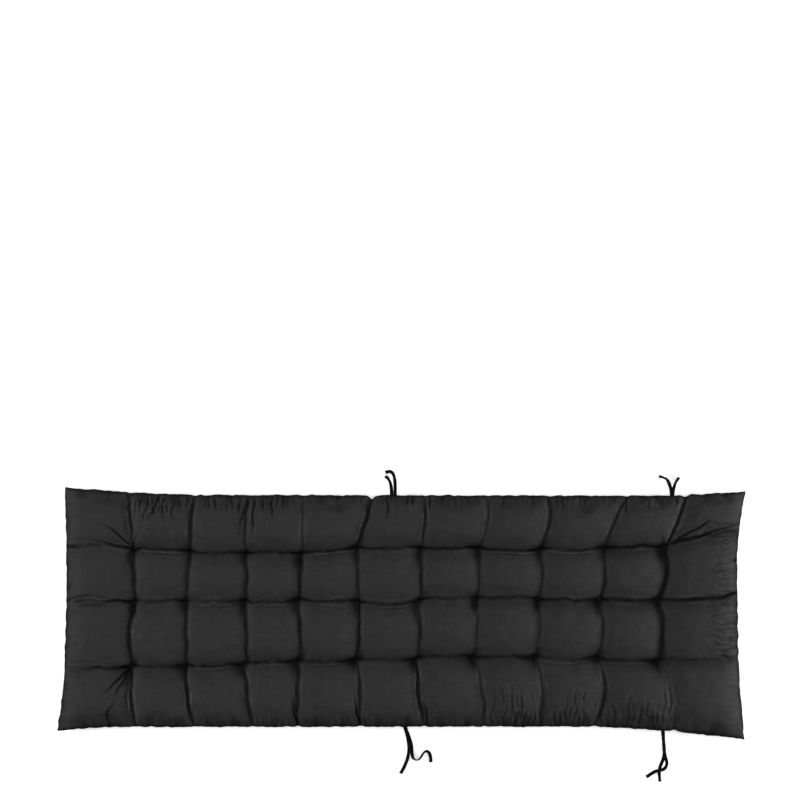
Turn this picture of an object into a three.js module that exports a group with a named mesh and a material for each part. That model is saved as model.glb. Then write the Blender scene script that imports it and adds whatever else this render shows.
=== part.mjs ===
// A long tufted lounge cushion with four pairs of tie tapes, lying on its back.
// Millimetres, +Z up. X runs along the cushion and Y from its front edge to its back edge.
// The origin is on the surface that the cushion lies on, under the middle of its outline.
import * as THREE from "three";
import { mergeGeometries, mergeVertices } from "three/addons/utils/BufferGeometryUtils.js";

// Driving sizes of the cushion.
const HALF_LENGTH = 757;
const HALF_WIDTH = 278;
const SEAM_HEIGHT = 17;
const CORNER_SEAM_HEIGHT = 11;
const TUFT_TOP = 28;
const TUFT_UNDERSIDE = 10;
const INNER_CROWN = 10;
const SIDE_CROWN = 14;
const END_CROWN = 10;
const UNDERSIDE_CREASE_DROP = 5;
const INNER_BELLY = 9;
const OUTER_BELLY = 24;
// How broad the top of a cell's crown is, and how fast a side curves in beside a corner.
const CELL_FLATNESS = 2.5;
const CORNER_POWER = 1.5;
// The share of an outer cell's width over which the filling rounds it off towards the seam.
const SHOULDER = 0.4;
// Vertices nearer to each other than this are one, so that the two faces of the cover join at the seam.
const MERGE_DISTANCE = 0.001;

// How the cover is cut up by its tufts: columns of cells along X, rows of cells along Y.
const CELL_COLUMNS = 11;
const CELL_ROWS = 4;
// Where the lines of vertices cross a cell, as shares of its width. They crowd towards the creases.
const CELL_STEPS = [0, 0.06, 0.18, 0.36, 0.64, 0.82, 0.94, 1];

// Driving sizes of the ties, which are folded and sewn strips of the cover's cloth.
const TAPE_WIDTH = 7.5;
const TAPE_THICKNESS = 1.6;
const TAPE_EDGE_ROUNDING = 0.5;
const TAPE_STEP = 6;

const COVER_CLOTH = new THREE.MeshStandardMaterial({ color: 0x2f2f31, roughness: 0.82, metalness: 0 });
const TAPE_CLOTH = new THREE.MeshStandardMaterial({ color: 0x1f1f20, roughness: 0.85, metalness: 0 });

// The cushion's four corners, seen from above. It lies a little askew, as soft things do.
const CORNERS = {
  frontLeft: { x: -HALF_LENGTH, y: -259 },
  frontRight: { x: 754, y: -HALF_WIDTH },
  backRight: { x: HALF_LENGTH, y: 269 },
  backLeft: { x: -741, y: HALF_WIDTH },
};

// The sides run between these corners. `inward` is the way towards the cushion's middle.
const SIDES = {
  front: { from: "frontLeft", to: "frontRight", along: "x", across: "y", inward: 1 },
  back: { from: "backLeft", to: "backRight", along: "x", across: "y", inward: -1 },
  left: { from: "frontLeft", to: "backLeft", along: "y", across: "x", inward: 1 },
  right: { from: "frontRight", to: "backRight", along: "y", across: "x", inward: -1 },
};

// The filling draws each side in: by `near` beside its first corner and by `far` beside its second. The
// side curves in over `nearRamp` from the first corner and `farRamp` from the second.
const DRAWN_IN = {
  front: { near: 9, far: 29, nearRamp: 122, farRamp: 354 },
  back: { near: 16, far: 10, nearRamp: 296, farRamp: 194 },
  left: { near: 11, far: 12, nearRamp: 125, farRamp: 260 },
  right: { near: 12, far: 20, nearRamp: 212, farRamp: 154 },
};

// The ten creases that cross the cushion, from left to right. Each meets the front edge, passes a front, a
// middle and a back tuft, and meets the back edge, at x = `at`. `y` places the tufts. Its four stretches
// bow sideways by `bow` and stand `rise` above a straight line between their ends.
const CROSS_CREASES = [
  { at: [-584, -591, -584, -589, -597], y: [-115, 29, 142], bow: [-5, -10, -1, 0], rise: [24, 15, 15, 22] },
  { at: [-454, -471, -470, -461, -455], y: [-113, 29, 137], bow: [-7, -2, -3, -4], rise: [20, 18, 18, 21] },
  { at: [-326, -343, -342, -339, -331], y: [-106, 29, 133], bow: [-4, 3, 0, -8], rise: [20, 18, 18, 24] },
  { at: [-228, -223, -226, -218, -217], y: [-101, 32, 134], bow: [-4, 3, -1, 0], rise: [23, 18, 18, 31] },
  { at: [-93, -98, -94, -95, -65], y: [-98, 28, 146], bow: [4, 3, -1, 0], rise: [23, 17, 18, 14] },
  { at: [51, 34, 40, 42, 50], y: [-95, 31, 144], bow: [-5, 4, 3, 6], rise: [20, 18, 18, 24] },
  { at: [182, 160, 167, 170, 184], y: [-92, 35, 146], bow: [7, 3, 3, 12], rise: [26, 19, 18, 27] },
  { at: [306, 295, 301, 308, 325], y: [-93, 35, 145], bow: [9, 5, 5, 7], rise: [25, 18, 18, 23] },
  { at: [423, 431, 436, 445, 496], y: [-96, 32, 146], bow: [18, 9, 5, -3], rise: [20, 18, 18, 21] },
  { at: [598, 567, 567, 578, 624], y: [-100, 31, 149], bow: [9, 6, 10, 6], rise: [29, 14, 13, 18] },
];

// How far a crease pulls the edge in where it meets it, and the creases that pull harder.
const EDGE_NOTCH = 1.5;
const DEEP_NOTCHES = {
  front: { 9: 4 },
  back: { 4: 9, 9: 3 },
};

// The three creases that run along the cushion, from front to back. Each meets the left and the right
// edge at y = `at`, and its eleven stretches bow and rise as those above do.
const LONG_CREASES = [
  {
    at: [-122, -94],
    bow: [0, -2, -5, -4, -7, -6, -1, -4, -6, -6, -3],
    rise: [20, 9, 9, 9, 10, 10, 9, 9, 9, 10, 21],
  },
  {
    at: [27, 47],
    bow: [0, -1, -4, -6, -2, -8, 1, 0, -4, -2, -5],
    rise: [19, 9, 11, 11, 10, 10, 10, 10, 9, 9, 17],
  },
  {
    at: [147, 181],
    bow: [6, 2, -1, 1, 0, 0, -1, -6, -5, 0, 8],
    rise: [19, 9, 9, 9, 10, 10, 9, 9, 9, 9, 18],
  },
];

// The free strips of the four ties, two to a tie. Each starts beside the seam, falls to the surface and
// lies there in loose curves. A row is a point on the strip's middle line: x, y, the height of the
// strip's lower edge, and how far the strip leans over sideways, in degrees: 0 lies flat, 90 stands up.
// Where one strip of a tie crosses the other, it lies on it.
const TIES = [
  {
    name: "tie_back_middle_upper",
    points: [
      [-14, 260.9, 17.2, 0],
      [-14, 270, 16, 0],
      [-14, 280, 11, 0],
      [-14.5, 290, 6.2, 10],
      [-16, 300, 3.2, 30],
      [-19.5, 308, 1.6, 20],
      [-26.5, 312, 0.8, 0],
      [-35.5, 309.5, 0.3, 0],
    ],
  },
  {
    name: "tie_back_middle_lower",
    points: [
      [-21.5, 260.9, 15, 0],
      [-22, 270, 13, 0],
      [-23, 279, 7, 10],
      [-25, 288, 2.2, 40],
      [-29, 295.5, 0.3, 40],
      [-35.5, 302, 0.3, 20],
    ],
  },
  {
    name: "tie_back_end_upper",
    points: [
      [593.5, 260.8, 16.9, 0],
      [592.5, 270, 15.6, 0],
      [590.5, 279, 10.6, 0],
      [588, 287, 5.6, 10],
      [583.5, 294.5, 2.2, 40],
      [575.5, 299, 0.5, 60],
      [566.5, 301.5, 0.3, 30],
    ],
  },
  {
    name: "tie_back_end_lower",
    points: [
      [596, 260.8, 14.7, 0],
      [597, 269.5, 12.4, 0],
      [599.5, 278, 6, 15],
      [602.5, 286, 1.2, 45],
      [606, 292.5, 0.3, 40],
      [610.5, 299, 0.3, 20],
    ],
  },
  {
    name: "tie_front_middle_upper",
    points: [
      [7, -251, 17.2, 0],
      [10.5, -261, 16, 0],
      [13.5, -272, 11, 0],
      [15.5, -284, 5.6, 0],
      [16.5, -296, 2.9, 0],
      [15.5, -308, 2.4, 0],
      [13, -320, 1.4, 0],
      [9, -331, 0.5, 0],
      [4, -342, 0.3, 0],
      [-2, -352.5, 0.3, 0],
    ],
  },
  {
    name: "tie_front_middle_lower",
    points: [
      [8, -251, 15, 0],
      [12, -260, 13, 0],
      [16, -270, 7, 0],
      [19.5, -281, 2, 0],
      [22, -292, 0.4, 0],
      [23, -304, 0.3, 0],
      [24, -314, 0.3, 20],
      [27.5, -320.5, 0.3, 60],
      [34, -323, 0.3, 75],
      [40, -320, 0.3, 65],
      [45, -313, 0.3, 55],
      [49.5, -306, 0.3, 60],
      [56, -303, 0.3, 40],
      [61, -307.5, 0.3, 15],
      [64, -317, 0.3, 0],
      [64.5, -328, 0.3, 0],
    ],
  },
  {
    name: "tie_front_end_upper",
    points: [
      [574.5, -259.4, 15.1, 0],
      [575.5, -269, 13.9, 0],
      [576, -279, 9.8, 0],
      [577, -289, 5.6, 0],
      [577.5, -299, 3, 0],
      [579, -309, 2.4, 0],
      [581, -318, 2.4, 10],
      [583.5, -327, 1.6, 30],
      [582.5, -336, 1.8, 30],
      [577, -342.5, 2.8, 5],
      [568.5, -345.5, 2.9, 0],
      [559, -347.5, 2.3, 0],
      [551, -352, 0.8, 0],
      [545, -356, 0.3, 0],
      [538.5, -360, 0.3, 0],
    ],
  },
  {
    name: "tie_front_end_lower",
    points: [
      [574, -259.4, 12.9, 0],
      [575, -269, 11.3, 0],
      [576, -279, 6.2, 0],
      [577, -289, 1.8, 0],
      [578, -299.5, 0.3, 0],
      [578, -310, 0.3, 0],
      [576, -320, 0.3, 0],
      [572, -330, 0.3, 0],
      [568.5, -339.5, 0.3, 0],
      [567, -350, 0.3, 5],
      [567.5, -360, 0.3, 35],
      [568.5, -370.5, 0.3, 30],
    ],
  },
];

const mix = THREE.MathUtils.lerp;

// 0 at both ends of a stretch and 1 in the middle: rounded like a slack line.
const arch = (t) => 1 - (2 * t - 1) ** 2;

// 0 at both ends and 1 over a broad middle: the section of a stuffed cell.
const pillow = (t) => 1 - Math.abs(2 * t - 1) ** CELL_FLATNESS;

// How much of its full effect the filling has at a distance from a corner.
function cornerEase(distance, ramp) {
  const rampLeft = 1 - Math.min(Math.max(distance / ramp, 0), 1);
  return 1 - rampLeft ** CORNER_POWER;
}

// The point of the seam on one side of the cushion, at a coordinate along that side.
function seamPoint(sideName, along) {
  const side = SIDES[sideName];
  const from = CORNERS[side.from];
  const to = CORNERS[side.to];
  const share = (along - from[side.along]) / (to[side.along] - from[side.along]);
  const { near, far, nearRamp, farRamp } = DRAWN_IN[sideName];
  const ease = cornerEase(along - from[side.along], nearRamp) * cornerEase(to[side.along] - along, farRamp);
  const drawnIn = mix(near, far, share) * ease;
  const point = new THREE.Vector3();
  point[side.along] = along;
  point[side.across] = mix(from[side.across], to[side.across], share) + side.inward * drawnIn;
  point.z = mix(CORNER_SEAM_HEIGHT, SEAM_HEIGHT, ease);
  return point;
}

// The x of every crossing of the front and back edges, and the y of every crossing of the side edges.
const frontStops = [CORNERS.frontLeft.x, ...CROSS_CREASES.map((c) => c.at[0]), CORNERS.frontRight.x];
const backStops = [CORNERS.backLeft.x, ...CROSS_CREASES.map((c) => c.at[4]), CORNERS.backRight.x];
const leftStops = [CORNERS.frontLeft.y, ...LONG_CREASES.map((c) => c.at[0]), CORNERS.backLeft.y];
const rightStops = [CORNERS.frontRight.y, ...LONG_CREASES.map((c) => c.at[1]), CORNERS.backRight.y];

// Where crease lines cross each other or the seam. `column` runs from 0 at the left to 11, and `row` from
// 0 at the front to 4.
function crossing(column, row, tuftHeight) {
  if (column === 0) return seamPoint("left", leftStops[row]);
  if (column === CELL_COLUMNS) return seamPoint("right", rightStops[row]);
  const crease = CROSS_CREASES[column - 1];
  if (row === 0 || row === CELL_ROWS) {
    const sideName = row === 0 ? "front" : "back";
    const notch = DEEP_NOTCHES[sideName][column - 1] ?? EDGE_NOTCH;
    const point = seamPoint(sideName, crease.at[row]);
    point.y += SIDES[sideName].inward * notch;
    return point;
  }
  return new THREE.Vector3(crease.at[row], crease.y[row - 1], tuftHeight);
}

// A point on the crease from one crossing to the next.
function creasePoint(from, to, t, bowAxis, bow, rise) {
  const point = new THREE.Vector3().lerpVectors(from, to, t);
  point[bowAxis] += bow * arch(t);
  point.z += rise * arch(t);
  return point;
}

// The seam between two crossings. A notch fades out at once, so it is a small V.
function seamStretch(sideName, start, end, t, from, to) {
  if (t === 0) return from.clone();
  if (t === 1) return to.clone();
  return seamPoint(sideName, mix(start, end, t));
}

// The boundary of a cell on its front or back side.
function longBoundary(column, row, t, face) {
  const from = crossing(column, row, face.tuftHeight);
  const to = crossing(column + 1, row, face.tuftHeight);
  if (row === 0) return seamStretch("front", frontStops[column], frontStops[column + 1], t, from, to);
  if (row === CELL_ROWS) return seamStretch("back", backStops[column], backStops[column + 1], t, from, to);
  const crease = LONG_CREASES[row - 1];
  return creasePoint(from, to, t, "y", crease.bow[column], face.rise(crease.rise[column]));
}

// The boundary of a cell on its left or right side.
function crossBoundary(column, row, t, face) {
  const from = crossing(column, row, face.tuftHeight);
  const to = crossing(column, row + 1, face.tuftHeight);
  if (column === 0) return seamStretch("left", leftStops[row], leftStops[row + 1], t, from, to);
  if (column === CELL_COLUMNS) return seamStretch("right", rightStops[row], rightStops[row + 1], t, from, to);
  const crease = CROSS_CREASES[column - 1];
  return creasePoint(from, to, t, "x", crease.bow[row], face.rise(crease.rise[row]));
}

// 0 at the seam and 1 from the shoulder on: a quarter of an ellipse.
const shoulder = (t) => Math.sqrt(1 - (1 - Math.min(t / SHOULDER, 1)) ** 2);

// The share of a cell's width that counts for its height. In an outer cell it follows the shoulder.
function heightShare(cell, cells, t) {
  if (cell === 0) return shoulder(t);
  if (cell === cells - 1) return 1 - shoulder(1 - t);
  return t;
}

// The height of a flat sheet over the four corners of a cell.
function sheetHeight(column, row, s, t, face) {
  const height = (i, j) => crossing(column + i, row + j, face.tuftHeight).z;
  return mix(mix(height(0, 0), height(1, 0), s), mix(height(0, 1), height(1, 1), s), t);
}

// A surface stretched between the four boundaries of a cell, as a Coons patch. Towards the seam its
// height falls in a round shoulder, and not straight.
function cellBase(column, row, s, t, face) {
  const front = longBoundary(column, row, s, face);
  const back = longBoundary(column, row + 1, s, face);
  const left = crossBoundary(column, row, t, face);
  const right = crossBoundary(column + 1, row, t, face);
  const point = front.multiplyScalar(1 - t).addScaledVector(back, t);
  point.addScaledVector(left, 1 - s).addScaledVector(right, s);
  point.addScaledVector(crossing(column, row, face.tuftHeight), -(1 - s) * (1 - t));
  point.addScaledVector(crossing(column + 1, row, face.tuftHeight), -s * (1 - t));
  point.addScaledVector(crossing(column, row + 1, face.tuftHeight), -(1 - s) * t);
  point.addScaledVector(crossing(column + 1, row + 1, face.tuftHeight), -s * t);
  const heightS = heightShare(column, CELL_COLUMNS, s);
  const heightT = heightShare(row, CELL_ROWS, t);
  point.z += sheetHeight(column, row, heightS, heightT, face) - sheetHeight(column, row, s, t, face);
  return point;
}

const isSideCell = (row) => row === 0 || row === CELL_ROWS - 1;
const isEndCell = (column) => column === 0 || column === CELL_COLUMNS - 1;

function crownHeight(column, row) {
  if (isSideCell(row)) return SIDE_CROWN;
  return isEndCell(column) ? END_CROWN : INNER_CROWN;
}

// The face that shows: every cell is crowned.
const topFace = {
  layout: 1,
  tuftHeight: TUFT_TOP,
  rise: (rise) => rise,
  swell(z, column, row, fullness) {
    return z + crownHeight(column, row) * fullness;
  },
};

// The underside: its cells are pressed flat by the surface, with shallow creases between them. It is
// laid out from right to left, which turns its outside down.
const underside = {
  layout: -1,
  tuftHeight: TUFT_UNDERSIDE,
  rise: () => -UNDERSIDE_CREASE_DROP,
  swell(z, column, row, fullness) {
    const belly = isSideCell(row) || isEndCell(column) ? OUTER_BELLY : INNER_BELLY;
    return Math.max(0, z - belly * fullness);
  },
};

// One face of the cover: a flat grid of cells whose vertices are moved to the cushion's shape.
function coverFace(face) {
  const steps = CELL_STEPS.length - 1;
  const grid = new THREE.PlaneGeometry(CELL_COLUMNS, CELL_ROWS, CELL_COLUMNS * steps, CELL_ROWS * steps);
  const position = grid.attributes.position;
  for (let i = 0; i < position.count; i++) {
    const across = Math.round((CELL_COLUMNS / 2 + face.layout * position.getX(i)) * steps);
    const deep = Math.round((CELL_ROWS / 2 + position.getY(i)) * steps);
    const column = Math.min(Math.floor(across / steps), CELL_COLUMNS - 1);
    const row = Math.min(Math.floor(deep / steps), CELL_ROWS - 1);
    const s = CELL_STEPS[across - column * steps];
    const t = CELL_STEPS[deep - row * steps];
    const point = cellBase(column, row, s, t, face);
    const onSideSeam = across === 0 || across === CELL_COLUMNS * steps;
    const onLongSeam = deep === 0 || deep === CELL_ROWS * steps;
    const fullness = pillow(s) * pillow(t);
    const z = onSideSeam || onLongSeam ? point.z : face.swell(point.z, column, row, fullness);
    position.setXYZ(i, point.x, point.y, z);
  }
  grid.deleteAttribute("normal");
  grid.deleteAttribute("uv");
  return grid;
}

function buildCushion() {
  const closed = mergeVertices(mergeGeometries([coverFace(topFace), coverFace(underside)]), MERGE_DISTANCE);
  closed.computeVertexNormals();
  const mesh = new THREE.Mesh(closed, COVER_CLOTH);
  mesh.name = "cushion";
  return mesh;
}

// The section of a tie: a flat strip with rounded edges. Its x is the strip's width.
function tapeSection() {
  const halfWidth = TAPE_WIDTH / 2;
  const halfThickness = TAPE_THICKNESS / 2;
  const edge = TAPE_EDGE_ROUNDING;
  const shape = new THREE.Shape();
  shape.moveTo(-halfWidth + edge, -halfThickness);
  shape.lineTo(halfWidth - edge, -halfThickness);
  shape.lineTo(halfWidth, -halfThickness + edge);
  shape.lineTo(halfWidth, halfThickness - edge);
  shape.lineTo(halfWidth - edge, halfThickness);
  shape.lineTo(-halfWidth + edge, halfThickness);
  shape.lineTo(-halfWidth, halfThickness - edge);
  shape.lineTo(-halfWidth, -halfThickness + edge);
  shape.closePath();
  return shape;
}

// The middle line of a strip. A leaning strip's middle is higher above its lower edge than a flat one's.
function tieRoute(points) {
  const middle = points.map(([x, y, rise, lean]) => {
    const angle = THREE.MathUtils.degToRad(lean);
    const halfHeight = (TAPE_WIDTH * Math.sin(angle) + TAPE_THICKNESS * Math.cos(angle)) / 2;
    return new THREE.Vector3(x, y, rise + halfHeight);
  });
  return new THREE.CatmullRomCurve3(middle, false, "centripetal");
}

// How far a strip leans at a share of its length, in radians.
function leanAt(points, share) {
  const place = share * (points.length - 1);
  const start = Math.min(Math.floor(place), points.length - 2);
  return THREE.MathUtils.degToRad(mix(points[start][3], points[start + 1][3], place - start));
}

// A straight strip, bent along its route.
function buildTie(tie) {
  const route = tieRoute(tie.points);
  const steps = Math.ceil(route.getLength() / TAPE_STEP);
  const strip = new THREE.ExtrudeGeometry(tapeSection(), { steps, depth: 1, bevelEnabled: false });
  const position = strip.attributes.position;
  const up = new THREE.Vector3(0, 0, 1);
  for (let i = 0; i < position.count; i++) {
    const share = position.getZ(i);
    const along = route.getTangent(share);
    const sideways = new THREE.Vector3().crossVectors(up, along).normalize();
    sideways.applyAxisAngle(along, leanAt(tie.points, share));
    const outOfFace = new THREE.Vector3().crossVectors(along, sideways);
    const point = route.getPoint(share);
    point.addScaledVector(sideways, position.getX(i)).addScaledVector(outOfFace, position.getY(i));
    position.setXYZ(i, point.x, point.y, point.z);
  }
  strip.computeVertexNormals();
  const mesh = new THREE.Mesh(strip, TAPE_CLOTH);
  mesh.name = tie.name;
  return mesh;
}

const loungeCushion = new THREE.Group();
loungeCushion.add(buildCushion());
for (const tie of TIES) loungeCushion.add(buildTie(tie));

export default loungeCushion;
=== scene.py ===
# %% [markdown]
# # A tufted lounge cushion with tie strips
#
# The real thing is a long pad of charcoal cloth. Two flat panels are sewn together all round, turned the
# right way out and filled. Thread is then pulled through at thirty points, which gathers the filling into
# eleven by four crowned cells. Pairs of narrow strips are caught in the seam, to tie the pad to a seat.
#
# The imported CAD model is loaded first. It says where everything is, in metres, and nothing here moves
# it. Each soft CAD solid is then replaced by a detailed piece of its own, in the same place.

# %% Load the frame
import math
import bpy
import numpy as np
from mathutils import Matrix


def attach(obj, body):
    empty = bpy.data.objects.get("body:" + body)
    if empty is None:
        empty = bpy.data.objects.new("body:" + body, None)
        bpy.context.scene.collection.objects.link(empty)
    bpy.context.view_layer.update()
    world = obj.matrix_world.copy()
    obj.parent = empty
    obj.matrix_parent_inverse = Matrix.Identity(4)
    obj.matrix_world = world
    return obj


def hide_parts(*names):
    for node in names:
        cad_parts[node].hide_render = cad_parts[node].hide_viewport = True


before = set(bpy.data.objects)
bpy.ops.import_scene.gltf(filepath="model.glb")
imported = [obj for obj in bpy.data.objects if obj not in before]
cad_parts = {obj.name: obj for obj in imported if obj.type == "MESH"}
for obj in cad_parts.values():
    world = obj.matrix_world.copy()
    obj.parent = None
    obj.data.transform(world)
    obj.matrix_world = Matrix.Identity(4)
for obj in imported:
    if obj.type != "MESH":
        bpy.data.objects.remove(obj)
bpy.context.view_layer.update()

# %% [markdown]
# ## Camera
#
# The cushion was photographed from straight above. A long lens stands in for a camera on a high stand:
# its rays are almost parallel, so the cushion keeps its outline although it lies low in the frame.
# The size of the frame fixes how far away the camera is.

# %% Camera
FRAME_SPAN = 1.76
FRAME_CENTRE = (-0.0033, 0.4692)
LENS = 300
SENSOR = 36
bpy.ops.object.camera_add(rotation=(0, 0, 0))
camera = bpy.context.object
camera.name = "camera"
camera.data.lens = LENS
camera.data.sensor_width = SENSOR
camera.location = (*FRAME_CENTRE, FRAME_SPAN * LENS / SENSOR)
camera.data.clip_end = 100
bpy.context.scene.camera = camera
print("camera height", round(camera.location.z, 2))

# %% [markdown]
# ## The tie strips
#
# Each strip is cut from the cover's own cloth, folded in from both sides and stitched along one edge. It
# is 7.5 mm wide, limp, and long enough to knot round a rail. The photograph shows all eight from the seam
# to the end, so their lengths are the ones seen.
#
# A strip could be a curve with a flat section. A straight strip that is bent along its route shows
# better what happens to real cloth tape, and it can lean over sideways where it lies on its edge. The
# routes are those of the CAD model. Each starts a little inside the seam, where it is sewn in.

# %% Routes of the strips
TAPE_WIDTH = 0.0075
TAPE_THICKNESS = 0.0016
# Millimetres. A row is x, y, the height of the strip's lower edge, and its lean in degrees.
TIES = {
    "tie_back_middle_upper": [
        (-14, 258, 17.2, 0), (-14, 270, 16, 0), (-14, 280, 11, 0), (-14.5, 290, 6.2, 10),
        (-16, 300, 3.2, 30), (-19.5, 308, 1.6, 20), (-26.5, 312, 0.8, 0), (-35.5, 309.5, 0.3, 0),
    ],
    "tie_back_middle_lower": [
        (-21.5, 258, 15, 0), (-22, 270, 13, 0), (-23, 279, 7, 10), (-25, 288, 2.2, 40),
        (-29, 295.5, 0.3, 40), (-35.5, 302, 0.3, 20),
    ],
    "tie_back_end_upper": [
        (593.5, 258, 16.9, 0), (592.5, 270, 15.6, 0), (590.5, 279, 10.6, 0), (588, 287, 5.6, 10),
        (583.5, 294.5, 2.2, 40), (575.5, 299, 0.5, 60), (566.5, 301.5, 0.3, 30),
    ],
    "tie_back_end_lower": [
        (596, 258, 14.7, 0), (597, 269.5, 12.4, 0), (599.5, 278, 6, 15), (602.5, 286, 1.2, 45),
        (606, 292.5, 0.3, 40), (610.5, 299, 0.3, 20),
    ],
    "tie_front_middle_upper": [
        (7, -248.5, 17.2, 0), (10.5, -261, 16, 0), (13.5, -272, 11, 0), (15.5, -284, 5.6, 0),
        (16.5, -296, 2.9, 0), (15.5, -308, 2.4, 0), (13, -320, 1.4, 0), (9, -331, 0.5, 0),
        (4, -342, 0.3, 0), (-2, -352.5, 0.3, 0),
    ],
    "tie_front_middle_lower": [
        (8, -248.5, 15, 0), (12, -260, 13, 0), (16, -270, 7, 0), (19.5, -281, 2, 0),
        (22, -292, 0.4, 0), (23, -304, 0.3, 0), (24, -314, 0.3, 20), (27.5, -320.5, 0.3, 60),
        (34, -323, 0.3, 75), (40, -320, 0.3, 65), (45, -313, 0.3, 55), (49.5, -306, 0.3, 60),
        (56, -303, 0.3, 40), (61, -307.5, 0.3, 15), (64, -317, 0.3, 0), (64.5, -328, 0.3, 0),
    ],
    "tie_front_end_upper": [
        (574.5, -257, 15.1, 0), (575.5, -269, 13.9, 0), (576, -279, 9.8, 0), (577, -289, 5.6, 0),
        (577.5, -299, 3, 0), (579, -309, 2.4, 0), (581, -318, 2.4, 10), (583.5, -327, 1.6, 30),
        (582.5, -336, 1.8, 30), (577, -342.5, 2.8, 5), (568.5, -345.5, 2.9, 0), (559, -347.5, 2.3, 0),
        (551, -352, 0.8, 0), (545, -356, 0.3, 0), (538.5, -360, 0.3, 0),
    ],
    "tie_front_end_lower": [
        (574, -257, 12.9, 0), (575, -269, 11.3, 0), (576, -279, 6.2, 0), (577, -289, 1.8, 0),
        (578, -299.5, 0.3, 0), (578, -310, 0.3, 0), (576, -320, 0.3, 0), (572, -330, 0.3, 0),
        (568.5, -339.5, 0.3, 0), (567, -350, 0.3, 5), (567.5, -360, 0.3, 35), (568.5, -370.5, 0.3, 30),
    ],
}
STEPS_PER_SPAN = 8


def spline(points):
    """Even points along a smooth line through `points`, with its speed fitted to their spacing."""
    ends = [2 * points[0] - points[1], *points, 2 * points[-1] - points[-2]]
    line = []
    for p0, p1, p2, p3 in zip(ends, ends[1:], ends[2:], ends[3:]):
        d0, d1, d2 = (math.sqrt(np.linalg.norm(b[:3] - a[:3])) for a, b in ((p0, p1), (p1, p2), (p2, p3)))
        leave = ((p1 - p0) / d0 - (p2 - p0) / (d0 + d1) + (p2 - p1) / d1) * d1
        arrive = ((p2 - p1) / d1 - (p3 - p1) / (d1 + d2) + (p3 - p2) / d2) * d1
        for step in range(STEPS_PER_SPAN):
            t = step / STEPS_PER_SPAN
            line.append(
                p1 * (2 * t**3 - 3 * t**2 + 1) + p2 * (3 * t**2 - 2 * t**3)
                + leave * (t**3 - 2 * t**2 + t) + arrive * (t**3 - t**2)
            )
    return np.array([*line, points[-1]])


def tie_route(rows):
    """The strip's middle line in metres, and how far it leans at each of its points, in radians."""
    middle = []
    for x, y, low, lean in rows:
        angle = math.radians(lean)
        half_height = (TAPE_WIDTH * math.sin(angle) + TAPE_THICKNESS * math.cos(angle)) / 2
        middle.append(np.array([x / 1000, y / 1000, low / 1000 + half_height, angle]))
    route = spline(middle)
    return route[:, :3], route[:, 3]


def run_lengths(line):
    """How far along a line each of its points is."""
    return np.concatenate([[0], np.cumsum(np.linalg.norm(np.diff(line, axis=0), axis=1))])


for name, rows in TIES.items():
    print(name, round(run_lengths(tie_route(rows)[0])[-1] * 1000, 1), "mm")

# %% Shape one strip
# A box is cut into short lengths, its long edges are rounded, and it is laid along the route.
TAPE_CUT, TAPE_ROUNDING = 0.0016, 0.00055
HEM_LENGTH, HEM_STEP, HEM_SWELL = 0.006, 0.001, 1.2
SMOOTH_BELOW = math.radians(50)


def select_only(*pieces):
    """Selects these pieces and no others. The first one is the active one."""
    bpy.ops.object.select_all(action="DESELECT")
    for piece in pieces:
        piece.select_set(True)
    bpy.context.view_layer.objects.active = pieces[0]


def vertex_points(piece):
    co = np.empty(len(piece.data.vertices) * 3)
    piece.data.vertices.foreach_get("co", co)
    return co.reshape(-1, 3)


def set_points(piece, points):
    piece.data.vertices.foreach_set("co", points.ravel())


def set_uv(piece, flat):
    """Fills the UV map of a piece with the flat place of each vertex."""
    layer = piece.data.uv_layers.active or piece.data.uv_layers.new(name="UVMap")
    corners = np.empty(len(piece.data.loops), dtype=np.int32)
    piece.data.loops.foreach_get("vertex_index", corners)
    layer.data.foreach_set("uv", flat[corners].ravel())


def pick_long_edges(piece, least):
    """In Edit Mode, selects only the edges that reach further than `least` along Y."""
    bpy.ops.mesh.select_all(action="DESELECT")
    bpy.ops.object.mode_set(mode="OBJECT")
    for edge in piece.data.edges:
        a, b = (piece.data.vertices[i].co for i in edge.vertices)
        edge.select = abs(a.y - b.y) > least
    bpy.ops.object.mode_set(mode="EDIT")


def straight_strip(name, length):
    """A strip of tape lying along Y from 0 to 1, as wide and thick as the real one."""
    bpy.ops.object.select_all(action="DESELECT")
    bpy.ops.mesh.primitive_cube_add(size=1, location=(0, 0, 0))
    strip = bpy.context.object
    strip.name = name
    bpy.ops.object.mode_set(mode="EDIT")
    bpy.ops.mesh.select_all(action="SELECT")
    bpy.ops.transform.resize(value=(TAPE_WIDTH, 1, TAPE_THICKNESS))
    bpy.ops.transform.translate(value=(0, 0.5, 0))
    pick_long_edges(strip, 0.5)
    bpy.ops.mesh.bevel(offset=TAPE_ROUNDING, segments=2)
    pick_long_edges(strip, 0.5)
    bpy.ops.mesh.subdivide(number_cuts=int(length / TAPE_CUT))
    bpy.ops.object.mode_set(mode="OBJECT")
    return strip


def tape_ways(route, leans):
    """The way across the tape and the way out of its face, at each point of a route."""
    along = np.gradient(route, axis=0)
    along /= np.linalg.norm(along, axis=1)[:, None]
    level = np.cross([0.0, 0.0, 1.0], along)
    level /= np.linalg.norm(level, axis=1)[:, None]
    upright = np.cross(along, level)
    sideways = level * np.cos(leans)[:, None] + upright * np.sin(leans)[:, None]
    return sideways, np.cross(along, sideways)


def at_share(values, distances, share):
    """Values given along a line, read at shares of its length."""
    wanted = share * distances[-1]
    return np.stack([np.interp(wanted, distances, column) for column in values.T], axis=1)


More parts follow.
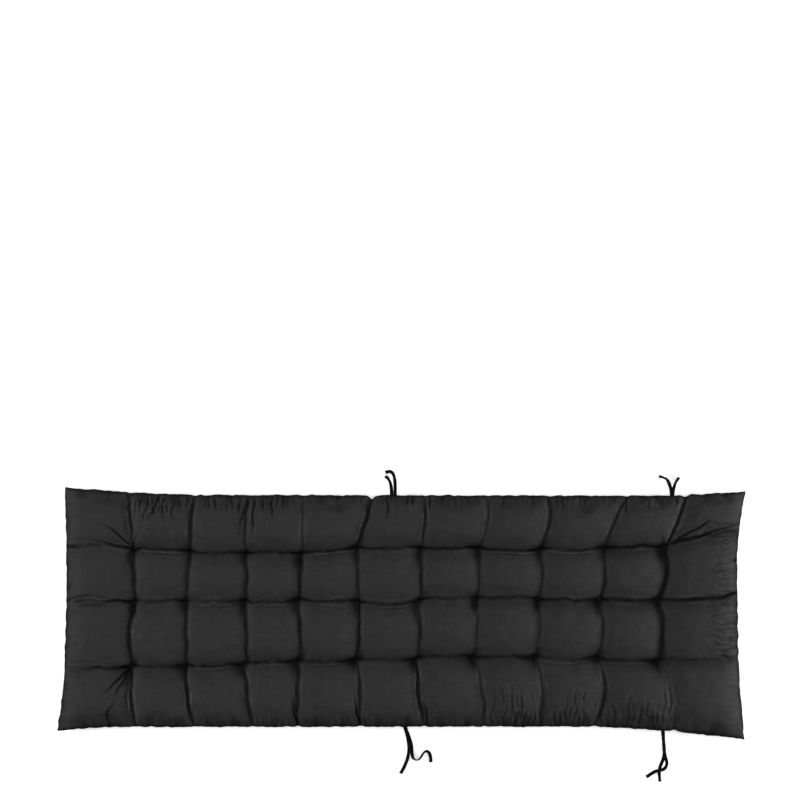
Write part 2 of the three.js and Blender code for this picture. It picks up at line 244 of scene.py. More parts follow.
def bend_along(strip, route, leans):
    """Lays a straight strip along its route. The last millimetres are the turned-in hem, a little thicker."""
    distances = run_lengths(route)
    co = vertex_points(strip)
    share = np.clip(co[:, 1], 0, 1)
    lines = (route, *tape_ways(route, leans))
    place, sideways, out = (at_share(values, distances, share) for values in lines)
    from_end = (1 - share) * distances[-1]
    swell = 1 + (HEM_SWELL - 1) * np.clip((HEM_LENGTH - from_end) / HEM_STEP, 0, 1)
    set_points(strip, place + sideways * co[:, :1] + out * (co[:, 2] * swell)[:, None])
    set_uv(strip, np.stack([co[:, 0], share * distances[-1]], axis=1))
    strip.data.update()


tie_strips = []
for name, rows in TIES.items():
    route, leans = tie_route(rows)
    length = float(run_lengths(route)[-1])
    strip = straight_strip(name + "_strip", length)
    bend_along(strip, route, leans)
    select_only(strip)
    bpy.ops.object.shade_smooth_by_angle(angle=SMOOTH_BELOW)
    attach(strip, "root")
    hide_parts(name)
    tie_strips.append(strip)
print(len(tie_strips), "strips,", sum(len(s.data.polygons) for s in tie_strips), "faces")

# %% [markdown]
# ## The cushion's cover
#
# The cover is two panels, and each is drawn here as one grid of cloth. The lines of the grid follow the
# creases from tuft to tuft, so a crease can be sharp without a very fine mesh everywhere. The sizes are
# those of the CAD model: four corners, sides that the filling draws in, and thirty tufts.
#
# A cushion could also be a box with a cloth simulation alone. Then its creases would fall where they
# like. Here the known creases come first, and the simulation afterwards only rounds and rumples the cloth
# between them, as filling does.

# %% Sizes of the cushion, in millimetres
CORNERS = {
    "front_left": (-757, -259), "front_right": (754, -278),
    "back_right": (757, 269), "back_left": (-741, 278),
}
# from corner, to corner, axis along, axis across, way inward, drawn in near, far, ramp near, far
SIDES = {
    "front": ("front_left", "front_right", 0, 1, 1, 9, 29, 122, 354),
    "back": ("back_left", "back_right", 0, 1, -1, 16, 10, 296, 194),
    "left": ("front_left", "back_left", 1, 0, 1, 11, 12, 125, 260),
    "right": ("front_right", "back_right", 1, 0, -1, 12, 20, 212, 154),
}
SEAM_HEIGHT, CORNER_SEAM_HEIGHT, CORNER_POWER = 17, 11, 1.5
COLUMNS, ROWS = 11, 4
TUFT_TOP, TUFT_UNDERSIDE = 28, 10
# The ten creases that cross the cushion: x at the front edge, at the three tufts and at the back edge, y of
# the tufts, and how far each of the four stretches bows sideways and stands above its ends.
CROSS_CREASES = [
    ((-584, -591, -584, -589, -597), (-115, 29, 142), (-5, -10, -1, 0), (24, 15, 15, 22)),
    ((-454, -471, -470, -461, -455), (-113, 29, 137), (-7, -2, -3, -4), (20, 18, 18, 21)),
    ((-326, -343, -342, -339, -331), (-106, 29, 133), (-4, 3, 0, -8), (20, 18, 18, 24)),
    ((-228, -223, -226, -218, -217), (-101, 32, 134), (-4, 3, -1, 0), (23, 18, 18, 31)),
    ((-93, -98, -94, -95, -65), (-98, 28, 146), (4, 3, -1, 0), (23, 17, 18, 14)),
    ((51, 34, 40, 42, 50), (-95, 31, 144), (-5, 4, 3, 6), (20, 18, 18, 24)),
    ((182, 160, 167, 170, 184), (-92, 35, 146), (7, 3, 3, 12), (26, 19, 18, 27)),
    ((306, 295, 301, 308, 325), (-93, 35, 145), (9, 5, 5, 7), (25, 18, 18, 23)),
    ((423, 431, 436, 445, 496), (-96, 32, 146), (18, 9, 5, -3), (20, 18, 18, 21)),
    ((598, 567, 567, 578, 624), (-100, 31, 149), (9, 6, 10, 6), (29, 14, 13, 18)),
]
# The three that run along it: y at the left and the right edge, and bow and stand of eleven stretches.
LONG_CREASES = [
    ((-122, -94), (0, -2, -5, -4, -7, -6, -1, -4, -6, -6, -3), (20, 9, 9, 9, 10, 10, 9, 9, 9, 10, 21)),
    ((27, 47), (0, -1, -4, -6, -2, -8, 1, 0, -4, -2, -5), (19, 9, 11, 11, 10, 10, 10, 10, 9, 9, 17)),
    ((147, 181), (6, 2, -1, 1, 0, 0, -1, -6, -5, 0, 8), (19, 9, 9, 9, 10, 10, 9, 9, 9, 9, 18)),
]
# How far a crease pulls the edge in, and over what distance that fades.
EDGE_NOTCH, NOTCH_FADE = 1.5, 7
DEEP_NOTCHES = {("front", 9): 4, ("back", 4): 9, ("back", 9): 3}


# %% The seam and the crossings
def mix(a, b, t):
    return a + (b - a) * t


def bell(x, width):
    """1 at 0, falling off smoothly to almost nothing at twice the width."""
    return np.exp(-((x / width) ** 2))


def smooth_step(x):
    x = np.clip(x, 0, 1)
    return x * x * (3 - 2 * x)


def corner_ease(distance, ramp):
    return 1 - (1 - np.clip(distance / ramp, 0, 1)) ** CORNER_POWER


def seam_point(side, along):
    """Points of the seam on one side, at coordinates along that side."""
    start, end, axis, across, inward, near, far, near_ramp, far_ramp = SIDES[side]
    a, b = CORNERS[start], CORNERS[end]
    along = np.asarray(along, dtype=float)
    share = (along - a[axis]) / (b[axis] - a[axis])
    ease = corner_ease(along - a[axis], near_ramp) * corner_ease(b[axis] - along, far_ramp)
    point = np.empty(along.shape + (3,))
    point[..., axis] = along
    point[..., across] = mix(a[across], b[across], share) + inward * mix(near, far, share) * ease
    point[..., 2] = mix(CORNER_SEAM_HEIGHT, SEAM_HEIGHT, ease)
    return point


def edge_notch(side, crease):
    return SIDES[side][4] * DEEP_NOTCHES.get((side, crease), EDGE_NOTCH)


# Where creases end on each side: the creases, and which number in their first group is that end.
CREASE_ENDS = {
    "front": (CROSS_CREASES, 0), "back": (CROSS_CREASES, 4),
    "left": (LONG_CREASES, 0), "right": (LONG_CREASES, 1),
}
EDGE_STOPS = {}
for side, (creases, end) in CREASE_ENDS.items():
    a, b, axis = SIDES[side][:3]
    EDGE_STOPS[side] = np.array([CORNERS[a][axis], *(crease[0][end] for crease in creases), CORNERS[b][axis]])


def crossings(tuft_height):
    """Where crease lines cross each other or the seam: a table of 12 by 5 points."""
    table = np.empty((COLUMNS + 1, ROWS + 1, 3))
    for column in range(1, COLUMNS):
        at, tuft_y, _, _ = CROSS_CREASES[column - 1]
        for row in range(1, ROWS):
            table[column, row] = (at[row], tuft_y[row - 1], tuft_height)
        for row, side in ((0, "front"), (ROWS, "back")):
            table[column, row] = seam_point(side, at[row])
            table[column, row, 1] += edge_notch(side, column - 1)
    for row in range(ROWS + 1):
        table[0, row] = seam_point("left", EDGE_STOPS["left"][row])
        table[COLUMNS, row] = seam_point("right", EDGE_STOPS["right"][row])
    return table


print("tufts", crossings(TUFT_TOP)[1:-1, 1:-1].reshape(-1, 3).shape[0])

# %% [markdown]
# A crease is a slack line that rises between two tufts and dips at each of them. The cloth between four
# creases is first stretched straight from each to the one opposite, and is then crowned by the filling.
# `dip` gives those two their section: a high power makes a broad, full top and a steep fall. Beside the
# seam the filling keeps its height for long and then falls off in a round shoulder.

# %% Creases and cells
CREASE_POWER = 2.2
CROWN_POWER = 2.5
SHOULDER = 0.4


def dip(t, power=CREASE_POWER):
    """0 at both ends and 1 in the middle."""
    return 1 - np.abs(2 * t - 1) ** power


def along_boundary(kind, line, cell, t, face):
    """Points of the crease or seam `line`, in the cell `cell` along it, at shares `t` of that cell."""
    table = face["table"]
    if kind == "long":
        ends, sides = (table[cell, line], table[cell + 1, line]), ("front", "back")
        last, creases, bow_axis = ROWS, LONG_CREASES, 1
    else:
        ends, sides = (table[line, cell], table[line, cell + 1]), ("left", "right")
        last, creases, bow_axis = COLUMNS, CROSS_CREASES, 0
    point = mix(*ends, t[:, None])
    bows = np.array([c[-2] for c in creases], dtype=float)
    rises = np.array([c[-1] for c in creases], dtype=float)
    inner = (line > 0) & (line < last)
    crease = np.clip(line - 1, 0, last - 2)
    point[:, bow_axis] += np.where(inner, bows[crease, cell] * (1 - (2 * t - 1) ** 2), 0)
    point[:, 2] += np.where(inner, face["rise"](rises[crease, cell]) * dip(t), 0)
    for where, side in zip((0, last), sides):
        on_seam = line == where
        stops = EDGE_STOPS[side]
        place = mix(stops[cell], stops[cell + 1], t)[on_seam]
        seam = seam_point(side, place)
        if kind == "long":
            for index, stop in enumerate(stops[1:-1]):
                seam[:, 1] += edge_notch(side, index) * bell(place - stop, NOTCH_FADE)
        point[on_seam] = seam
    return point


def shoulder(t):
    """0 at the seam and 1 from the shoulder on: a quarter of an ellipse."""
    return np.sqrt(1 - (1 - np.minimum(t / SHOULDER, 1)) ** 2)


def height_share(cell, cells, t):
    """The share of a cell's width that counts for its height."""
    inner = np.where(cell == cells - 1, 1 - shoulder(1 - t), t)
    return np.where(cell == 0, shoulder(t), inner)


def corner_mix(table, column, row, s, t):
    """Between the four corners of a cell, as on a flat sheet."""
    s1, t1 = s[:, None], t[:, None]
    front = mix(table[column, row], table[column + 1, row], s1)
    back = mix(table[column, row + 1], table[column + 1, row + 1], s1)
    return mix(front, back, t1)


def cell_surface(column, row, s, t, face):
    """The cloth of a cell at shares s along and t across it, before it is crowned."""
    s1, t1 = s[:, None], t[:, None]
    table = face["table"]
    front = along_boundary("long", row, column, s, face)
    back = along_boundary("long", row + 1, column, s, face)
    left = along_boundary("cross", column, row, t, face)
    right = along_boundary("cross", column + 1, row, t, face)
    corners = corner_mix(table, column, row, s, t)
    point = mix(front, back, t1) + mix(left, right, s1) - corners
    rounded = corner_mix(table, column, row, height_share(column, COLUMNS, s), height_share(row, ROWS, t))
    point[:, 2] += rounded[:, 2] - corners[:, 2]
    return point


# %% The two faces of the cover
INNER_CROWN, SIDE_CROWN, END_CROWN = 10, 14, 10
INNER_BELLY, OUTER_BELLY = 9, 24
UNDERSIDE_CREASE_DROP = 5


def is_side(row):
    return (row == 0) | (row == ROWS - 1)


def is_end(column):
    return (column == 0) | (column == COLUMNS - 1)


# The filling rolls the cloth over at the seam: how high, within what distance, and how far in it fades.
EDGE_ROLL, EDGE_ROLL_REACH, EDGE_ROLL_FADE = 3.0, 4.0, 60


def crown_top(z, column, row, fullness, to_seam):
    crown = np.where(is_side(row), SIDE_CROWN, np.where(is_end(column), END_CROWN, INNER_CROWN))
    roll = EDGE_ROLL * (1 - np.exp(-to_seam / EDGE_ROLL_REACH)) * np.exp(-to_seam / EDGE_ROLL_FADE)
    return z + crown * fullness + roll


def press_underside(z, column, row, fullness, _):
    return np.maximum(0, z - np.where(is_side(row) | is_end(column), OUTER_BELLY, INNER_BELLY) * fullness)


TOP = {"mirror": 1, "table": crossings(TUFT_TOP), "rise": lambda rise: rise, "swell": crown_top}
UNDERSIDE = {
    "mirror": -1, "table": crossings(TUFT_UNDERSIDE),
    "rise": lambda rise: np.full_like(rise, -UNDERSIDE_CREASE_DROP), "swell": press_underside,
}
# Where the lines of the grid cross a cell, as shares of its width: close together beside the creases.
BESIDE_CREASE = [0, 0.011, 0.026, 0.046]
HALF_CELL = BESIDE_CREASE + list(np.linspace(0.075, 0.5, 14))
CELL_STEPS = np.array(HALF_CELL + [1 - share for share in reversed(HALF_CELL[:-1])])


def grid_places(line, cells, cell_steps):
    """The cell and the share of its width of each line of the grid."""
    steps = len(cell_steps) - 1
    cell = np.minimum(line // steps, cells - 1)
    return cell, cell_steps[line - cell * steps]


PANEL_LENGTH, PANEL_WIDTH = 1.5, 0.53
PITCH_X, PITCH_Y = PANEL_LENGTH / COLUMNS, PANEL_WIDTH / ROWS


def crease_distances(places):
    """Rough distances in metres to the nearest crease that crosses, that runs along, and to the seam."""
    to_cross = np.abs(places[:, 0] - np.rint(places[:, 0])) * PITCH_X
    to_long = np.abs(places[:, 1] - np.rint(places[:, 1])) * PITCH_Y
    ends = np.minimum(places[:, 0], COLUMNS - places[:, 0]) * PITCH_X
    sides = np.minimum(places[:, 1], ROWS - places[:, 1]) * PITCH_Y
    return to_cross, to_long, np.minimum(ends, sides)


# At both ends the filling lies further out: those cells are fullest nearer the seam.
END_SKEW = 1.3


def skewed_share(column, s):
    s = np.where(column == COLUMNS - 1, s**END_SKEW, s)
    return np.where(column == 0, 1 - (1 - s) ** END_SKEW, s)


def cover_face(name, face, cell_steps):
    """A grid of flat cloth whose vertices are moved to one face of the cushion."""
    wide, high = COLUMNS * (len(cell_steps) - 1), ROWS * (len(cell_steps) - 1)
    bpy.ops.object.select_all(action="DESELECT")
    bpy.ops.mesh.primitive_grid_add(x_subdivisions=wide, y_subdivisions=high, size=1)
    cloth = bpy.context.object
    cloth.name = name
    co = vertex_points(cloth)
    across = np.rint((0.5 + face["mirror"] * co[:, 0]) * wide).astype(int)
    deep = np.rint((0.5 + co[:, 1]) * high).astype(int)
    column, s = grid_places(across, COLUMNS, cell_steps)
    row, t = grid_places(deep, ROWS, cell_steps)
    point = cell_surface(column, row, s, t, face)
    on_seam = (across == 0) | (across == wide) | (deep == 0) | (deep == high)
    fullness = dip(skewed_share(column, s), CROWN_POWER) * dip(t, CROWN_POWER)
    places = np.stack([column + s, row + t], axis=1)
    swollen = face["swell"](point[:, 2], column, row, fullness, crease_distances(places)[2] * 1000)
    point[:, 2] = np.where(on_seam, point[:, 2], swollen)
    set_points(cloth, point / 1000)
    return cloth, places


top_cloth, top_places = cover_face("cover_top", TOP, CELL_STEPS)
under_cloth, under_places = cover_face("cover_underside", UNDERSIDE, CELL_STEPS)
print("vertices of each face", len(top_cloth.data.vertices))

# %% [markdown]
# ## Filling the cover
#
# Pressure from below stands in for the filling. The top panel alone is simulated, as an even sheet of cloth
# on the same shape. It is a little longer than that shape, and more so beside the seam, where a flat panel
# can't follow the swelling and gathers up. The seam, the tufts and the creases hold it. Between them it
# swells and puckers within a few frames. The panel takes over a share of that movement.

# %% The sheet and what holds it
SHEET_STEPS = np.linspace(0, 1, 25)
SHEET_FRAMES = 10
CREASE_HOLD, TUFT_HOLD = 0.004, 0.01
SPARE_INSIDE, SPARE_AT_SEAM, SEAM_REACH = 0.006, 0.06, 0.05
FREE_NEAR_SEAM = 0.02
MOST_MOVED, MOVED_SHARE = 0.006, 0.7
LEAST_WEIGHT = 0.001
SAME_POINT = 1e-6


def set_weights(piece, name, weights):
    group = piece.vertex_groups.new(name=name)
    for index in np.flatnonzero(weights > LEAST_WEIGHT):
        group.add([int(index)], float(weights[index]), "REPLACE")


def held_weights(places):
    """1 at the seam, the tufts and the creases. Creases that run out to the seam are free near it."""
    to_cross, to_long, to_seam = crease_distances(places)
    inner = to_seam > FREE_NEAR_SEAM
    crease = bell(np.minimum(to_cross, to_long), CREASE_HOLD) * inner
    tuft = np.exp(-((np.hypot(to_cross, to_long) / TUFT_HOLD) ** 4)) * inner
    return np.where(to_seam < SAME_POINT, 1.0, np.maximum(crease, tuft))


def fill_with_pressure(sheet, places):
    """Runs the cloth simulation on the sheet and applies it. Returns how far each vertex moved."""
    start = vertex_points(sheet)
    set_weights(sheet, "held", held_weights(places))
    set_weights(sheet, "inside", 1 - bell(crease_distances(places)[2], SEAM_REACH))
    filling = sheet.modifiers.new("filling", "CLOTH")
    settings = filling.settings
    settings.quality = 4
    settings.mass = 0.2
    settings.tension_stiffness = 15
    settings.compression_stiffness = 15
    settings.shear_stiffness = 5
    settings.bending_stiffness = 60
    settings.vertex_group_mass = "held"
    settings.pin_stiffness = 1
    settings.vertex_group_shrink = "inside"
    settings.shrink_min = -SPARE_AT_SEAM
    settings.shrink_max = -SPARE_INSIDE
    settings.use_pressure = True
    settings.uniform_pressure_force = 40
    settings.effector_weights.gravity = 0
    filling.point_cache.frame_start = 1
    filling.point_cache.frame_end = SHEET_FRAMES
    scene = bpy.context.scene
    scene.frame_start, scene.frame_end = 1, SHEET_FRAMES
    for number in range(1, SHEET_FRAMES + 1):
        scene.frame_set(number)
    select_only(sheet)
    bpy.ops.object.modifier_apply(modifier="filling")
    scene.frame_set(1)
    return vertex_points(sheet) - start


sheet, sheet_places = cover_face("filling_sheet", TOP, SHEET_STEPS)
moved = fill_with_pressure(sheet, sheet_places)
bpy.data.objects.remove(sheet)
reach = np.linalg.norm(moved, axis=1)
print("moved, mm:", np.percentile(reach * 1000, [50, 90, 100]).round(1))

# %% Carry the movement over to the panel
# Each vertex of the panel reads it between the four vertices of the sheet that surround it.
moved *= (np.minimum(reach, MOST_MOVED) / np.maximum(reach, 1e-9))[:, None]
steps = len(SHEET_STEPS) - 1
table = np.zeros((COLUMNS * steps + 1, ROWS * steps + 1, 3))
table[tuple(np.rint(sheet_places * steps).astype(int).T)] = moved
low = np.minimum((top_places * steps).astype(int), (COLUMNS * steps - 1, ROWS * steps - 1))
share = top_places * steps - low
carried = np.zeros((len(low), 3))
for i, j in ((0, 0), (1, 0), (0, 1), (1, 1)):
    weight = (share[:, 0] if i else 1 - share[:, 0]) * (share[:, 1] if j else 1 - share[:, 1])
    carried += weight[:, None] * table[low[:, 0] + i, low[:, 1] + j]
set_points(top_cloth, vertex_points(top_cloth) + MOVED_SHARE * carried)

# %% Sew the two faces together
# The face of a vertex is 1 on top and 0 below. Beside the seam it lies between them once the cover is
# smoothed: above the first value it counts as top, and below the second as underside.
ON_TOP, ON_UNDERSIDE = 0.5, 0.25


def store_places(cloth, places, panel):
    """Keeps on each vertex where it is in the flat panel: the cell along, the cell across and the face."""
    layer = cloth.data.attributes.new("place", "FLOAT_VECTOR", "POINT")
    values = np.concatenate([places, np.full((len(places), 1), panel)], axis=1)
    layer.data.foreach_set("vector", values.ravel())


store_places(top_cloth, top_places, 1)
store_places(under_cloth, under_places, 0)
select_only(top_cloth, under_cloth)
bpy.ops.object.join()
cushion = top_cloth
cushion.name = "cushion_cover"
bpy.ops.object.mode_set(mode="EDIT")
bpy.ops.mesh.select_all(action="SELECT")
bpy.ops.mesh.remove_doubles(threshold=SAME_POINT)
bpy.ops.object.mode_set(mode="OBJECT")
print("cover", len(cushion.data.vertices), "vertices", len(cushion.data.polygons), "faces")


def cover_places():
    """The places in the flat panel of all vertices, and which face each is on."""
    layer = cushion.data.attributes["place"]
    values = np.empty(len(cushion.data.vertices) * 3)
    layer.data.foreach_get("vector", values)
    return values.reshape(-1, 3)


# %% Finish the cover
select_only(cushion)
modifier = cushion.modifiers.new("smooth", "SUBSURF")
modifier.levels = modifier.render_levels = 1
bpy.ops.object.modifier_apply(modifier="smooth")
bpy.ops.object.shade_smooth()
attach(cushion, "root")
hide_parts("cushion")

# %% [markdown]
# ## Creases, puckers and gathers
#
# Narrow folds come last, on the finished mesh, as a sculptor would press them with a fine tool: a trough
# along a path, with a soft raised lip beside it. A trough may be steeper on one side than on the other.
# On the real cushion the right side of each crease is the steep one.

# %% A tool that presses folds
FOLD_REACH, LIP_PLACE = 4.5, 2.0
FADING_AT_ENDS = ((0, 0.25, 0.75, 1), (0, 1, 1, 0))
FAR_AWAY = 1e9


def nearest_on_path(points, path):
    """Distance from each point to a path, on which side it is, and how far along the path."""
    best = np.full(len(points), FAR_AWAY)
    side = np.zeros(len(points))
    along = np.zeros(len(points))
    start = 0.0
    for a, b in zip(path, path[1:]):
        way = b - a
        length = math.hypot(*way)
        share = np.clip(((points - a) @ way) / length**2, 0, 1)
        off = points - (a + share[:, None] * way)
        distance = np.hypot(off[:, 0], off[:, 1])
        nearer = distance < best
        best[nearer] = distance[nearer]
        side[nearer] = np.sign(way[0] * off[nearer, 1] - way[1] * off[nearer, 0])
        along[nearer] = start + share[nearer] * length
        start += length
    return best, side, along, start


def press_fold(points, depth_map, path, depth, widths, profile, lip=0.0, sharp=True, combine=np.add):
    """Adds one fold to `depth_map`, in millimetres. `widths` are its half widths on the left and on the
    right of its path, and `profile` has shares of its length and its strength at each of them. A sharp fold
    is a V, the others are rounded. The lip stands beside it, at a distance counted in those widths."""
    path = np.array(path, dtype=float)
    reach = FOLD_REACH * max(widths)
    low, high = path.min(axis=0) - reach, path.max(axis=0) + reach
    near = np.flatnonzero(((points > low) & (points < high)).all(axis=1))
    distance, side, along, length = nearest_on_path(points[near], path)
    across = distance / np.where(side > 0, widths[0], widths[1])
    trough = depth * (np.exp(-across) if sharp else bell(across, 1))
    raised = lip * bell(across - LIP_PLACE, 1)
    strength = np.interp(along / length, *profile)
    depth_map[near] = combine(depth_map[near], (raised - trough) * strength)


def raise_cloth(points, height_map, path, height, width, profile):
    """Raises `height_map` along a path to a rounded swelling, unless it is higher there already."""
    press_fold(points, height_map, path, -height, (width, width), profile, sharp=False, combine=np.maximum)


# %% [markdown]
# Nothing on real cloth is straight. A smooth random field makes each fold wander, and later moves the
# cloth itself. It is a sum of waves in many directions, drawn from a fixed seed, so every run is the same.

# %% Smooth random fields
# Each use of chance has seeds of its own, so that a change to one leaves the others as they are.
SEEDS = {
    "wander": (31, 32), "creases": 5, "tufts": 7, "gathers": 11, "crinkles": 29, "drift": (21, 22),
    "rumple": (23, 24, 25), "edge": (26, 27), "tacks": 3,
}


def waves(points, seed, shortest, longest, count=18):
    """A random field with a spread of about 1, for wave lengths in millimetres."""
    draw = np.random.default_rng(seed)
    field = np.zeros(len(points))
    for _ in range(count):
        turn = draw.uniform(0, 2 * math.pi)
        reach = 2 * math.pi / draw.uniform(shortest, longest)
        way = np.array([math.cos(turn), math.sin(turn)]) * reach
        field += np.sin(points @ way + draw.uniform(0, 2 * math.pi))
    return field * math.sqrt(2 / count)


WANDER, WANDER_LENGTHS = 0.9, (18, 60)


def wandering(path, steps, wander=WANDER):
    """The same path with more points, each moved a little."""
    path = np.array(path, dtype=float)
    path = at_share(path, run_lengths(path), np.linspace(0, 1, steps))
    shift = [waves(path, seed, *WANDER_LENGTHS) for seed in SEEDS["wander"]]
    return path + wander * np.stack(shift, axis=1)


# %% The main creases
# Each crease has a narrow, deep core, where two cells touch, and flanks that slope down to it.
# A row is the depth and the half widths of each, on the left of the crease and on its right.
CROSS_CORE = (3.7, (0.8, 0.75))
CROSS_FLANKS = [(0.3, (1.6, 1.5)), (0.7, (3.2, 1.9)), (0.7, (3.2, 1.9)), (0.2, (1.6, 1.6))]
# The filling has slid towards the right end, so only there do the flanks reach their full depth.
FLANK_SHARES = (0.1, 0.1, 0.1, 0.1, 0.2, 0.4, 0.8, 1, 1, 1)
LONG_CORE, LONG_FLANKS = (7.0, (1.1, 1.1)), [(3.0, (5, 13)), (2.0, (2.4, 12)), (2.2, (3.0, 4.2))]
# How deep each stretch of a cross crease is, from front to back, as a share of the usual depth.
CROSS_DEPTHS = [
    (2.3, 1.7, 1.35, 1.0), (2.2, 0.9, 0.65, 0.9), (0.9, 0.84, 0.68, 0.35), (0.95, 1, 0.78, 0),
    (0.84, 2.2, 0.73, 1.8), (1.9, 0.78, 0.68, 0.78), (0.4, 0.4, 0.62, 0.2), (0.5, 0.24, 0.73, 0.9),
    (0.9, 0.57, 0.62, 0.78), (0.03, 0.75, 1.0, 3.0),
]
# And each of a long crease, from left to right.
LONG_DEPTHS = [
    (0.26, 0.76, 0.96, 1.1, 0.76, 0.73, 0.67, 0.97, 0.52, 0.58, 0.36),
    (0.53, 0.79, 0.48, 0.61, 0.93, 0.95, 0.76, 0.68, 1.11, 1.15, 0.59),
    (0.52, 1.08, 1.0, 1.16, 1.45, 0.88, 1.26, 1.12, 1.17, 1.16, 0.33),
]
# Where a cross crease is shallow, its valley fills up: how high, and the half width.
SLACK_HEIGHT, SLACK_WIDTH = 4.6, 8.0
# On the left half the cells are plump right up to the crease on their right: crease, stretch and height.
PLUMP = [
    (1, 1, 3.0), (1, 2, 3.0), (2, 1, 2.2), (2, 2, 2.0), (2, 3, 3.0), (3, 0, 2.4), (3, 1, 2.6), (3, 2, 2.2),
    (3, 3, 2.4), (4, 1, 2.4), (4, 2, 2.4), (5, 3, 2.4), (6, 0, 2.2), (6, 2, 2.0),
]
PLUMP_PLACE, PLUMP_WIDTH = 8.5, 5.5
# The depth along a stretch: a tuft draws it down at its end, and the seam doesn't.
STRETCH_SHARES = np.linspace(0, 1, 11)
TURNS = (0, 0.12, 0.35, 0.65, 0.88, 1)
BETWEEN_TUFTS = np.interp(STRETCH_SHARES, TURNS, (1.15, 1.0, 0.85, 0.8, 0.9, 1.1))
FROM_SEAM = np.interp(STRETCH_SHARES, TURNS, (0.9, 1.0, 0.9, 0.8, 0.9, 1.1))
UNEVEN = {"cross": 0.35, "long": 0.5}
PATH_POINTS, WANDER_POINTS = 13, 25
# Beside a crease the cloth stands up in a small ridge. A row is its offset and height: for the stretches of
# a cross crease from front to back, and for the three long creases.
CROSS_RIDGES = [[(-7, 1.2), (7.5, 0.9)], [(8, 0.6)], [(8, 0.6)], [(-7, 1.3), (7, 1.0)]]
LONG_RIDGES = [[(-8, 0.5)], [(-7, 0.9), (7.5, 0.9)], [(-7, 0.9)]]
RIDGE_WIDTH = 2.7
# A deep crease has higher ridges: the least and the most that its depth counts for.
RIDGE_LEAST, RIDGE_MOST = 0.7, 1.4
# Beside some the filling thins out in a wide hollow. A row is the kind of crease, its number, the stretch,
# the depth, and the half widths on the left and on the right, as seen by someone who walks along it.
HOLLOWS = [
    ("cross", 10, 1, 4.8, (16, 7)), ("cross", 10, 2, 6.5, (18, 3)), ("cross", 9, 2, 2.0, (7, 3)),
    ("cross", 4, 2, 1.5, (5, 4)), ("long", 1, 6, 2.0, (3, 13)), ("long", 1, 7, 2.5, (3, 13)),
    ("long", 1, 9, 3.5, (3, 14)), ("long", 1, 10, 4.5, (3, 16)), ("long", 2, 7, 2.5, (3, 14)),
    ("long", 2, 8, 4.0, (3, 15)), ("long", 2, 9, 5.5, (3, 17)), ("long", 2, 10, 5.0, (3, 19)),
    ("long", 3, 9, 5.5, (3, 17)), ("long", 3, 10, 5.0, (3, 19)),
]
HOLLOW_PROFILE = ((0, 0.5, 1), (1, 0.8, 1))


def crease_path(kind, line, cell):
    shares = np.linspace(0, 1, PATH_POINTS)
    full = np.full(PATH_POINTS, 1)
    return wandering(along_boundary(kind, full * line, full * cell, shares, TOP)[:, :2], WANDER_POINTS)


def press_creases(points, core, flanks, ridges, slack, hollows):
    draw = np.random.default_rng(SEEDS["creases"])
    for kind, table in (("cross", CROSS_DEPTHS), ("long", LONG_DEPTHS)):
        for index, depths in enumerate(table):
            for cell, depth in enumerate(depths):
                ends = FROM_SEAM if cell == 0 else BETWEEN_TUFTS
                ends = FROM_SEAM[::-1] if cell == len(depths) - 1 else ends
                uneven = draw.uniform(1 - UNEVEN[kind], 1 + UNEVEN[kind], len(ends))
                path = crease_path(kind, index + 1, cell)
                if kind == "cross":
                    deep, widths = CROSS_FLANKS[cell]
                    sections = (CROSS_CORE, (FLANK_SHARES[index] * deep, widths))
                    beside, aside = CROSS_RIDGES[cell], np.array((1, 0))
                    if depth < 1:
                        height = SLACK_HEIGHT * (1 - depth)
                        raise_cloth(points, slack, path, height, SLACK_WIDTH, FADING_AT_ENDS)
                else:
                    sections = (LONG_CORE, LONG_FLANKS[index])
                    beside, aside = LONG_RIDGES[index], np.array((0, 1))
                for depth_map, (deep, widths) in zip((core, flanks), sections):
                    profile = (STRETCH_SHARES, depth * ends * uneven)
                    press_fold(points, depth_map, path, deep, widths, profile, combine=np.minimum)
                for offset, height in beside:
                    height *= min(max(depth, RIDGE_LEAST), RIDGE_MOST)
                    swell = draw.uniform(0, 2, len(ends)) * np.sin(math.pi * STRETCH_SHARES)
                    profile = (STRETCH_SHARES, swell)
                    raise_cloth(points, ridges, path + offset * aside, height, RIDGE_WIDTH, profile)
    for line, cell, height in PLUMP:
        path = crease_path("cross", line, cell) - (PLUMP_PLACE, 0)
        raise_cloth(points, slack, path, height, PLUMP_WIDTH, FADING_AT_ENDS)
    for kind, line, cell, depth, widths in HOLLOWS:
        path = crease_path(kind, line, cell)
        press_fold(points, hollows, path, depth, widths, HOLLOW_PROFILE, sharp=False, combine=np.minimum)


# %% The tufts
# Each thread draws the cloth into a pit. It also draws down the cloth beside it, but unevenly: in a wedge on
# the left, along the crease, and in a hollow in the corner of the cell on the left and in front of it.
PIT_DEPTH, PIT_WIDTHS = 7.5, ((7, 6), (6.5, 6))
# A row is the depth, the offset, the half widths to the left and the right and to the front and the back,
# and the share of that depth at the front, the middle and the back row of tufts.
DIMPLES = [
    (8.0, (-8, -4), (38, 7), (7, 6), (1.0, 0.5, 0.0)),
    (8.0, (-5, -1), (27, 7), (9, 7), (0.3, 0.6, 0.9)),
    (8.0, (-5, -14), (18, 9), (18, 8), (0.8, 1.0, 1.0)),
    (4.0, (-12, -14), (34, 14), (22, 12), (1.1, 0.6, 0.3)),
    (3.0, (7, -3), (8, 13), (9, 7), (0.8, 0.8, 1.0)),
    (3.0, (8, 8), (8, 13), (8, 9), (1.5, 0.4, 0.9)),
]
# The top never sinks further than this, where the tuft's thread holds it against the underside. Beside the
# seam it stays above the seam, within this distance.
LOWEST_TOP, ABOVE_SEAM, SEAM_HOLD = 12.0, 0.2, 30.0
TUFT_REACH, TUFT_UNEVEN = 60, (0.7, 1.3)


